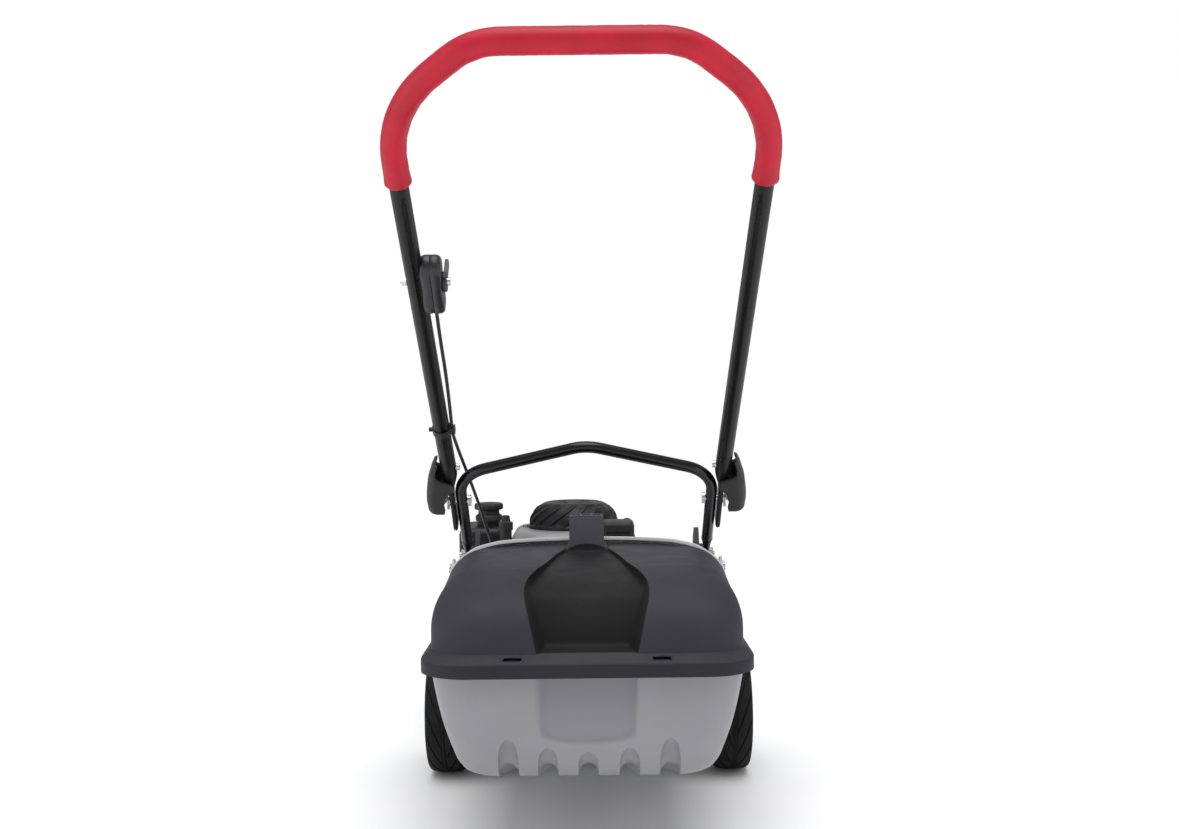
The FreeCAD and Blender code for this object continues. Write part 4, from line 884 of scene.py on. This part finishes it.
def grass_lid():
    """Domed lid with its rim, shoulder slots and sunken carrying recess, with painted shade on the rim and
    behind the slots and in part on the recess panel.
    """
    rows = lid_rows()
    right = lid_columns()
    columns = [(column, -1) for column in right[:0:-1]] + [(column, 1) for column in right]
    count = len(columns)
    points = []
    for row in rows:
        widths = recess_width(row)
        for column, side in columns:
            x, y, z = lid_point(row, column, widths)
            points.append((side * x, y, z))

    def keep(row, column):
        (kind, share), (next_kind, next_share) = columns[column][0], columns[column + 1][0]
        low, high = sorted((share, next_share))
        return not (row == SLOT_ROW and kind == next_kind == "rear" and 0.2 < low and high < 0.5)

    faces = grid_faces(len(rows), count, keep=keep)
    slots = []
    for face in faces:
        row, column = divmod(face[0], count)
        # Faces of the recess panel take its dark finish, partly painted shade.
        inner = all(columns[place][0][0] in ("floor", "wall") for place in (column, column + 1))
        panel = inner and PANEL_FIRST <= row < len(rows) - PANEL_SHORT
        # The lowest rows take the rim finish, painted darker as shade.
        slots.append(1 if panel else (2 if row < RIM_SHADE_ROWS else 0))
    outline = points[count - 1::count] + points[-count:][-2:0:-1] + points[::count][::-1]
    wall_points, wall_faces = lid_front_wall(outline)
    faces += [tuple(len(points) + corner for corner in face)[::-1] for face in wall_faces]
    slots += [0] * len(wall_faces)
    points += wall_points
    # A dark sheet behind each shoulder slot, painted shade.
    for side in (-1, 1):
        corners = [len(points) + corner for corner in (0, 2, 3, 1)]
        points += [(side * x, *edge) for x in SLOT_SHADE_X for edge in (SLOT_SHADE_LOW, SLOT_SHADE_HIGH)]
        faces.append(corners[::side])
        slots.append(1)
    piece = new_piece("lid_shell", points, faces,
                      [FINISH["lid_plastic"], PANEL_AND_SHADE_FINISH, RIM_SHADE_FINISH], face_slots=slots)
    add_modifier(piece, "SOLIDIFY", thickness=SHELL_WALL * MM, offset=-1)
    shade_by_angle(piece, 40)
    stand_for(piece, "grass_box", "lid_plastic", "box_lid")


BODY_LEVELS = [(88, 110, -345), (91, 124, -358), (97, 140, -370), (107, 151, -380),
               (124, 161, -388), (146, 169, -395), (168, 174.5, -399.5), (217.5, 184, -405)]
BODY_LOW = 88
BODY_FLANGE_HALF = 191
BODY_FLANGE_REAR = -414
BODY_FLANGE_Z = 219.5
BODY_HEIGHTS = [217.5, 214, 209, 204, 198, 192, 186, 180, 174, 169, 164, 160, 156, 153, 150, 148, 146, 144,
                142, 140, 138, 136, 134, 132, 130, 127, 124, 121, 118, 115, 112, 109, 106, 103, 100, 97,
                94.5, 92.5, 91, 89.8, 88.8, 88]
BODY_FRONT = -100
# Rows that close the floor: how far inwards, and how much of the flutes they keep
FLOOR_ROWS = [(3, 1), (8, 1), (20, 0.8), (45, 0.4), (80, 0), (110, 0)]
BODY_CORNER = 50
FLUTES = [(-93, 143), (-47, 132), (0, 127), (48, 132), (95, 143)]
FLUTE_R = 12
BACK_RECESS = (58, 140, 30, 6)


def body_size(z):
    """Half width and rear edge of the box body at a height."""
    return [along([(level[0], level[column]) for level in BODY_LEVELS], z) for column in (1, 2)]


def flute_half(top, z):
    """Half width of a flute at a height; it closes in a point near its top."""
    rise = min(1.0, max(0.0, (z - BODY_LOW) / (top - BODY_LOW)))
    return max(1.2, FLUTE_R * sqrt(1 - rise ** 5))


def recess_depth(x, z):
    """Depth of the soft-edged recess in the middle of the rear face."""
    half, bottom, radius, depth = BACK_RECESS
    across = abs(x) - (half - radius)
    down = (bottom + radius) - z
    if across > 0 and down > 0:
        edge = radius - hypot(across, down)
    else:
        edge = min(half - abs(x), z - bottom)
    fade = 0.45 + 0.55 * ease((z - bottom) / 60)
    return depth * fade * ease((edge + 1) / 4.5)


def body_corner(z):
    """Radius of the rear corners, tighter near the floor."""
    return lerp(20, BODY_CORNER, ease((z - BODY_LOW) / 50))


def rear_offset(x, start, corner):
    """How far the rounded corner stands in front of the rear face at a place across."""
    over = min(corner, max(0.0, abs(x) - start))
    return corner - sqrt(corner ** 2 - over ** 2)


def corner_run(edge, start, corner, count):
    """Even steps from the last flute round the corner: (x, offset) pairs."""
    straight = max(0.0, start - edge)
    first = asin(min(0.98, max(0.0, edge - start) / corner))
    total = straight + corner * (pi / 2 - first)
    places = []
    for index in range(1, count + 1):
        travelled = total * index / count
        if travelled < straight:
            places.append((edge + travelled, 0.0))
        else:
            angle = first + (travelled - straight) / corner
            places.append((start + corner * sin(angle), corner * (1 - cos(angle))))
    return places


def body_columns(z, half, start, corner):
    """Places across the rear face and both corners: (x, offset, flute)."""
    shares = (-1, -0.97, -0.86, -0.6, -0.3, 0, 0.3, 0.6, 0.86, 0.97, 1)
    limit = half - 5
    middle = []
    previous = None
    for centre, top in FLUTES:
        wide = min(flute_half(top, z), limit - abs(centre))
        if previous is not None:
            for step in range(1, 15):
                x = lerp(previous, centre - wide, step / 15)
                middle.append((x, rear_offset(x, start, corner), None))
        for share in shares:
            x = centre + wide * share
            middle.append((x, rear_offset(x, start, corner), (wide, share)))
        previous = centre + wide
    right = corner_run(middle[-1][0], start, corner, 17)
    left = mirrored(corner_run(-middle[0][0], start, corner, 17))
    return [place + (None,) for place in left] + middle + [place + (None,) for place in right]


def body_row(z):
    """Outer points of the body at one height, from the left front to the right front."""
    half, rear = body_size(z)
    corner = body_corner(z)
    start = half - corner
    row = [(-half, lerp(BODY_FRONT, rear + corner, index / 7), z) for index in range(7)]
    bulge = 2.2 * ease((z - BODY_LOW) / 60)
    for x, offset, flute in body_columns(z, half, start, corner):
        y = rear + offset - bulge * max(0.0, 1 - (x / start) ** 2)
        y += recess_depth(x, z)
        lift = 0
        if flute and flute[0] > 1.3:
            deep = flute[0] * sqrt(max(0, 1 - flute[1] ** 2))
            y += deep * 0.9
            lift = deep * (1 - ease((z - BODY_LOW) / 30))
        row.append((x, y, z + lift))
    row += [(half, lerp(rear + corner, BODY_FRONT, index / 7), z) for index in range(1, 8)]
    return row


def grass_body():
    """Tapered tub with a flange, flutes along its lower edge and a shallow recess."""
    rows = [body_row(z) for z in BODY_HEIGHTS]
    half, rear = body_size(BODY_HEIGHTS[0])
    across = BODY_FLANGE_HALF / half
    back = (BODY_FLANGE_REAR - BODY_FRONT) / (rear - BODY_FRONT)
    flange = [(x * across, BODY_FRONT + (y - BODY_FRONT) * back, BODY_FLANGE_Z) for x, y, _ in rows[0]]
    rows.insert(0, flange)
    lowest = rows[-1]
    for inset, keep_lift in FLOOR_ROWS:
        pull = 1 - inset / BODY_LEVELS[0][1]
        low = []
        for x, y, z in lowest:
            lift = (z - BODY_LOW) * keep_lift
            low.append((x * pull, lerp(y, BODY_FRONT, inset / 160), BODY_LOW - 0.6 + lift))
        rows.append(low)
    lofted("box_tub", rows, "grass_box", "body_plastic", "box_body", flip=True, angle=50, wall=SHELL_WALL)


# ---------- flap ----------

FLAP_ARCH = [(194, 276), (194, 292), (179, 314), (165, 325.5), (151, 334), (132, 339.5), (110, 343.2),
             (60, 346), (0, 347)]
FLAP_FALL = 14
FLAP_REAR = -110
FLAP_FRONT = -2
FLAP_WALL = 5
# Lowest level of the flap's sides at its rear and at its front, and where it changes
FLAP_FOOT = (300, 276)
FLAP_STEP = (-60, -24)
FLAP_PIVOT = (-6, 292)
FLAP_EAR = [(190.2, 4.2), (190.2, 13), (191, 14), (193.2, 14), (194, 13), (194, 4.2)]


def smooth_line(points, steps):
    """Curve through points with even slopes, with a few steps on each stretch."""
    padded = [points[0] * 2 - points[1]] + points + [points[-1] * 2 - points[-2]]
    line = []
    for p0, p1, p2, p3 in zip(padded, padded[1:], padded[2:], padded[3:]):
        for step in range(steps):
            t = step / steps
            line.append(0.5 * ((2 * p1) + (p2 - p0) * t + (2 * p0 - 5 * p1 + 4 * p2 - p3) * t ** 2
                               + (3 * p1 - p0 - 3 * p2 + p3) * t ** 3))
    return line + [points[-1]]


def flap_foot(y):
    """Lowest point of the flap's side at a place along it."""
    rear, front = FLAP_STEP
    return lerp(*FLAP_FOOT, min(1, max(0, (y - rear) / (front - rear))))


def flap_row(arch, y, inset, count=61):
    """Arch of the flap at one place along it, trimmed at its foot."""
    share = (y - FLAP_REAR) / (FLAP_FRONT - FLAP_REAR)
    inside = [point for point in arch if point.y >= flap_foot(y)]
    lengths = run_lengths(inside)
    row = []
    for index in range(count):
        place = lengths[-1] * index / (count - 1)
        x, z = (float(np.interp(place, lengths, [point[axis] for point in inside])) for axis in (0, 1))
        fall = FLAP_FALL * share * ease((z - 300) / 36)
        inward = copysign(inset * min(1, abs(x) / 60), x)
        row.append((x - inward, y, z - fall - inset * ease((z - 300) / 30)))
    return row


def rear_flap():
    """Smooth arched flap that falls towards its hinge, with a lip and two ears."""
    half = smooth_line([Vector(point) for point in FLAP_ARCH], 6)
    arch = half + [Vector(point) for point in mirrored(half[:-1])]
    rows = [flap_row(arch, lerp(FLAP_REAR, FLAP_FRONT, index / 18), 0) for index in range(19)]
    rows.append(flap_row(arch, FLAP_FRONT, 6))
    bevelled(lofted("flap_shell", rows, "rear_flap", "flap_plastic", "rear_flap", flip=True,
                    wall=FLAP_WALL), 1.1)
    y, z = FLAP_PIVOT
    for name, side in (("left", -1), ("right", 1)):
        rings = [[(side * x, y + r * cos(angle), z + r * sin(angle)) for angle in circle(36)]
                 for x, r in FLAP_EAR]
        lofted("flap_ear_" + name, rings, "rear_flap", "flap_plastic", angle=50, flip=side > 0,
               closed=True, wrap=True)


# ---------- small moulded pieces ----------

APEX_ROWS = [(-166, 328.2, 31.5), (-160, 328.6, 30.8), (-156, 329.6, 30), (-153.6, 331.6, 29),
             (-152.9, 334, 26.5), (-152.7, 336.5, 22.5), (-152.7, 338.8, 17), (-152.7, 340.6, 10.5),
             (-152.7, 341.5, 4.5), (-152.7, 341.8, 1)]
CAP_PROFILE = [(-29, 19.6), (-29, 21.5), (-22, 21.8), (-19.5, 20), (-18, 17.4), (-12.5, 17), (-11.4, 18.4),
               (-10.8, 22), (-9.5, 23.3), (-4, 23.4), (-1.6, 22.4), (-0.4, 19.8), (0, 16), (-0.6, 14.8),
               (-0.6, 5), (-0.2, 4), (-0.2, 0.5)]
CAP_SCALLOPS = 14


def recess_apex():
    """Rounded end of the carrying recess, where its floor climbs the foot of the tongue."""
    rows = [[(half * sin(pi / 2 * step / 8), y, z) for step in range(-8, 9)] for y, z, half in APEX_ROWS]
    # Its dark panel finish is partly painted shade.
    lofted("recess_apex", rows, "grass_box", "lid_plastic", finish=PANEL_AND_SHADE_FINISH, wall=0.6)


def tank_cap():
    """Fuel cap with a broad scalloped top over a narrower neck."""
    x0, y0, _, top = middle_of("fuel_cap")
    rings = []
    for drop, radius in CAP_PROFILE:
        grip = 1.3 if -11 < drop < -1 and radius > 20 else 0
        ring = []
        for angle in circle(CAP_SCALLOPS * 8):
            r = radius - grip * max(0, cos(angle * CAP_SCALLOPS)) ** 2
            ring.append((x0 + r * cos(angle), y0 + r * sin(angle), top + drop))
        rings.append(ring)
    lofted("tank_cap", rings, "fuel_cap", "tank_plastic", "fuel_cap", finish=FINISH["black_plastic"],
           caps="z", angle=50, wall=1.6, closed=True)


CONTROL_CORNERS = [(371, -11), (371, 15), (453, 15), (453, -15)]
CONTROL_RADII = (6, 10, 15, 12)
CONTROL_MIDDLE = (412, 0)
CONTROL_STEP_S = 386
CONTROL_GAP_X = (-182.4, -180.6)
# Layers of each half: place across and inset of the outline
CONTROL_HALVES = {
    "outer": [(-192, 13), (-192, 6), (-191.6, 4), (-190.4, 2), (-188, 0.6), (-185, 0), (-182.7, 0),
              (-182.4, 0), (-180.6, 0), (-180.3, 0), (-179.9, 0), (-179.3, 0.6), (-179.3, 2)],
    "inner": [(-179.1, 2), (-179.1, 0.6), (-178.5, 0), (-174, 0), (-171, 0.5), (-168.8, 1.8),
              (-167.4, 4), (-167, 6), (-167, 13)],
}


def control_outline(inset):
    """Outline of the throttle housing in (s, n), rounded and drawn inwards by an inset."""
    corners = [Vector(corner) for corner in CONTROL_CORNERS]
    path = []
    for index, radius in enumerate(CONTROL_RADII):
        around = corners[index - 1], corners[index], corners[(index + 1) % 4]
        centre, first, last, _ = fillet(*around, radius)
        path += [centre + first.lerp(last, step / 8).normalized() * radius for step in range(9)]
    middle = Vector(CONTROL_MIDDLE)
    return [point + (middle - point).normalized() * inset for point in filled(path + path[:1], 2.5)]


def control_housing():
    """Two rounded halves of the throttle control with a seam, a step and a cable gap."""
    gap_low, gap_high = CONTROL_GAP_X
    for name, layers in CONTROL_HALVES.items():
        rings = []
        for x, inset in layers:
            ring = []
            for s, n in control_outline(inset):
                if s < CONTROL_STEP_S and n > 8:
                    n -= 1.4 * ease((CONTROL_STEP_S - s) / 1.5)
                    if gap_low <= x <= gap_high:
                        n -= 3
                ring.append(handle_point(x, s, n))
            rings.append(ring)
        node = "throttle_housing_" + name
        lofted("control_" + name, rings, "upper_handle", "black_plastic", node, finish=NODE_FINISH[node],
               caps="az", angle=45, closed=True)


LEVER_S = 416
LEVER_HUB_R = 12.5
LEVER_ARM_HALF = 4.5
LEVER_REACH = 36
LEVER_LAYERS = [(-166.6, 1), (-166, 0), (-163, 0), (-162, 1)]


def throttle_arm():
    """Round hub of the throttle lever with a slim thumb arm above the handle."""
    widest = asin(LEVER_ARM_HALF / LEVER_HUB_R)
    tip = asin(LEVER_ARM_HALF / LEVER_REACH)
    half = [tip * index / 4 for index in range(5)]
    half += [lerp(tip, widest, (index / 6) ** 1.6) for index in range(1, 7)]
    half += [lerp(widest, pi, index / 20) for index in range(1, 21)]
    angles = half + [-angle for angle in reversed(half[1:-1])]
    rings = []
    for x, inset in LEVER_LAYERS:
        ring = []
        for angle in angles:
            radius = LEVER_HUB_R - inset
            if abs(angle) < widest:
                radius = min(LEVER_REACH, LEVER_ARM_HALF / max(abs(sin(angle)), 0.01)) - inset
            ring.append(handle_point(x, LEVER_S + radius * sin(angle), -radius * cos(angle)))
        rings.append(ring)
    lofted("throttle_arm", rings, "throttle_lever", "black_plastic", "throttle_lever",
           finish=NODE_FINISH["throttle_lever"], caps="az", angle=40, closed=True)


# ---------- cam levers ----------

# Outer and inner faces of a lever, by place along the leg
CAM_OUTER = [(-17, 209.5), (-11, 218), (4, 221.5), (25, 221), (45, 218), (66, 212), (80, 208), (86, 205.6)]
CAM_INNER = [(-17, 207), (-11, 202.5), (-4, 200), (8, 200.5), (28, 196), (44, 184.5), (52, 184), (57, 192),
             (62, 205), (68, 208), (80, 205.4), (86, 204.2)]
CAM_HALF = 15.2
CAM_WALL = 3.2
CAM_SLOT_HALF = 4.7
CAM_SLOT_TOP = -8
CAM_SLOT_COLUMNS = (14, 15)
CAM_STATIONS = [-17, -16.4, -15, -13, -10.5, -8, -5, -2, 3, 9, 15, 21, 27, 33, 38, 42, 45, 48, 51, 54,
                57, 60, 64, 69, 75, 81, 84.5, 86]


def cam_half(s):
    """Half depth of a lever along the leg: round foot, full middle, narrower tip."""
    foot = max(0.53, sqrt(max(0.0, 1 - max(0.0, (-5 - s) / 12.4) ** 2)))
    tip = 1 - 0.5 * ease((s - 54) / 30)
    return CAM_HALF * foot * tip


def cam_levers():
    """Curved sleeves that wrap the legs, open towards the inside and slotted at the foot."""
    def keep(row, column):
        return not (CAM_STATIONS[row + 1] <= CAM_SLOT_TOP and column in CAM_SLOT_COLUMNS)

    for name, side in (("left", -1), ("right", 1)):
        rows = []
        for s in CAM_STATIONS:
            outer = along(CAM_OUTER, s)
            inner = along(CAM_INNER, s)
            depth = cam_half(s)
            corner = min(7.0, depth * 0.8, (outer - inner) * 0.8)
            row = [(lerp(inner, outer - corner, share), depth) for share in (0, 0.1, 0.35, 0.65, 0.9)]
            for index in range(9):
                angle = pi / 2 * index / 8
                row.append((outer - corner + corner * sin(angle), depth - corner + corner * cos(angle)))
            middle = CAM_SLOT_HALF if s < CAM_SLOT_TOP + 5 else (depth - corner) / 2
            if middle > depth - corner:
                row = [(x, max(n, middle)) for x, n in row]
            row += [(outer, middle), (outer, 0)]
            row += [(x, -n) for x, n in reversed(row[:-1])]
            rows.append([handle_point(side * x, s, n) for x, n in row])
        lever = "cam_lever_" + name
        bevelled(lofted("cam_sleeve_" + name, rows, lever, "black_plastic", lever, flip=side > 0,
                        wall=CAM_WALL, keep=keep), 0.8)


# ---------- starter housing ----------

# Height and radius: skirt, louvred side and ringed top
DOME_SKIRT = [(325, 69.5), (325, 74), (328, 74.4)]
DOME_SIDE = [(330, 73.2), (334, 72.8), (341, 71.6), (348, 68.6), (354, 64.6), (359, 59.6), (363, 53),
             (365.6, 47.5)]
DOME_TOP = [(366.8, 43), (366.4, 40.5), (365.2, 39), (365.2, 31), (366.4, 30), (366.4, 26), (365.2, 25),
            (365.2, 17), (366.4, 16), (366.4, 0.5)]
DOME_FINS = 17
FIN_STEPS = (0, 0.14, 0.24, 0.32, 0.42, 0.56, 0.7, 0.8, 0.9)
FIN_RISE = 35
FIN_DEPTH = 3.2


def starter_dome():
    """Domed cover with slanted curved louvres round its side and rings on its flat top."""
    x0, y0, low, _ = middle_of("recoil_housing")
    lift = low - DOME_SKIRT[0][0]
    profile = list(DOME_SKIRT)
    for (z0, r0), (z1, r1) in zip(DOME_SIDE, DOME_SIDE[1:]):
        profile += [(lerp(z0, z1, share), lerp(r0, r1, share)) for share in (0, 0.25, 0.5, 0.75)]
    rings = []
    for z, r in profile + DOME_SIDE[-1:] + DOME_TOP:
        climb = (z - DOME_SIDE[0][0]) / FIN_RISE
        live = ease(climb / 0.12) * ease((1 - climb) / 0.12) if r > DOME_TOP[0][1] else 0
        ring = []
        for fin in range(DOME_FINS):
            for share in FIN_STEPS:
                turn = (fin + share + 1.5 * climb + 0.35 * climb ** 2) / DOME_FINS * 2 * pi
                groove = ease((share - 0.14) / 0.18) * ease((1.02 - share) / 0.14)
                radius = r - FIN_DEPTH * live * groove
                ring.append((x0 + radius * cos(turn), y0 + radius * sin(turn), z + lift))
        rings.append(ring)
    lofted("starter_dome", rings, "chassis", "black_plastic", "recoil_housing",
           finish=FINISH["tank_plastic"], caps="z", angle=45, wall=1.8, closed=True)


# ---------- wheels ----------

TREAD_BARS = 15
TREAD_SLANT = 1.7
TREAD_HALF = 0.075
TREAD_STEPS = (0, 0.045, 0.075, 0.14, 0.28, 0.5, 0.72, 0.86, 0.925, 0.955)
# Place across and depth below the tread, from the inner edge of the right side to the middle
TYRE_PROFILE = [(23, -24), (26, -20), (26.2, -15), (26, -10), (25.2, -6.6), (23.6, -4), (21.2, -2.2),
                (18, -1.1), (14, -0.4), (9.5, -0.1), (5.5, 0), (3.5, 0), (2.5, 0), (1.5, 0), (0, 0)]
WHEEL_X = 202
REAR_WHEEL_R = 90
FRONT_WHEEL_R = 80


def tread_depth(across, phase):
    """Depth of the slanted tread grooves at a place across the tyre."""
    reach = abs(across)
    offset = (phase + 0.5) % 1 - 0.5
    deep = 0.0
    if 3.5 < reach < 24.5 and abs(offset) < TREAD_HALF:
        deep = 2.0 * ease((TREAD_HALF - abs(offset)) / 0.03) * ease((reach - 3.5) / 2)
    if 1.5 < reach < 3.5:
        deep = max(deep, 0.9)
    return deep


def tyre(name, side, axle_y, radius):
    """Tyre with steep worn grooves and rounded shoulders."""
    full = TYRE_PROFILE + mirrored(TYRE_PROFILE[:-1])
    rings = []
    for bar in range(TREAD_BARS):
        for fraction in TREAD_STEPS:
            ring = []
            for across, drop in full:
                slant = TREAD_SLANT * (abs(across) / 24) ** 1.1
                half_pitch = 0.5 if across > 0 else 0
                turn = (bar + fraction + slant + half_pitch) / TREAD_BARS * 2 * pi
                r = radius + drop - tread_depth(across, fraction)
                ring.append((across + side * WHEEL_X, axle_y + r * sin(turn), radius + r * cos(turn)))
            rings.append(ring)
    lofted(name + "_tread", rings, name + "_wheel", "tyre_rubber", name + "_tyre", angle=50,
           closed=True, wrap=True)


# ---------- build ----------

camera_and_light()
floor()
paint_frame()
throttle_cable()
foam_grip()
upper_frame()
grass_lid()
grass_body()
rear_flap()
recess_apex()
tank_cap()
control_housing()
throttle_arm()
cam_levers()
starter_dome()
for side_name, side in (("left", -1), ("right", 1)):
    tyre("rear_" + side_name, side, 0, REAR_WHEEL_R)
    tyre("front_" + side_name, side, middle_of("front_left_tyre")[1], FRONT_WHEEL_R)
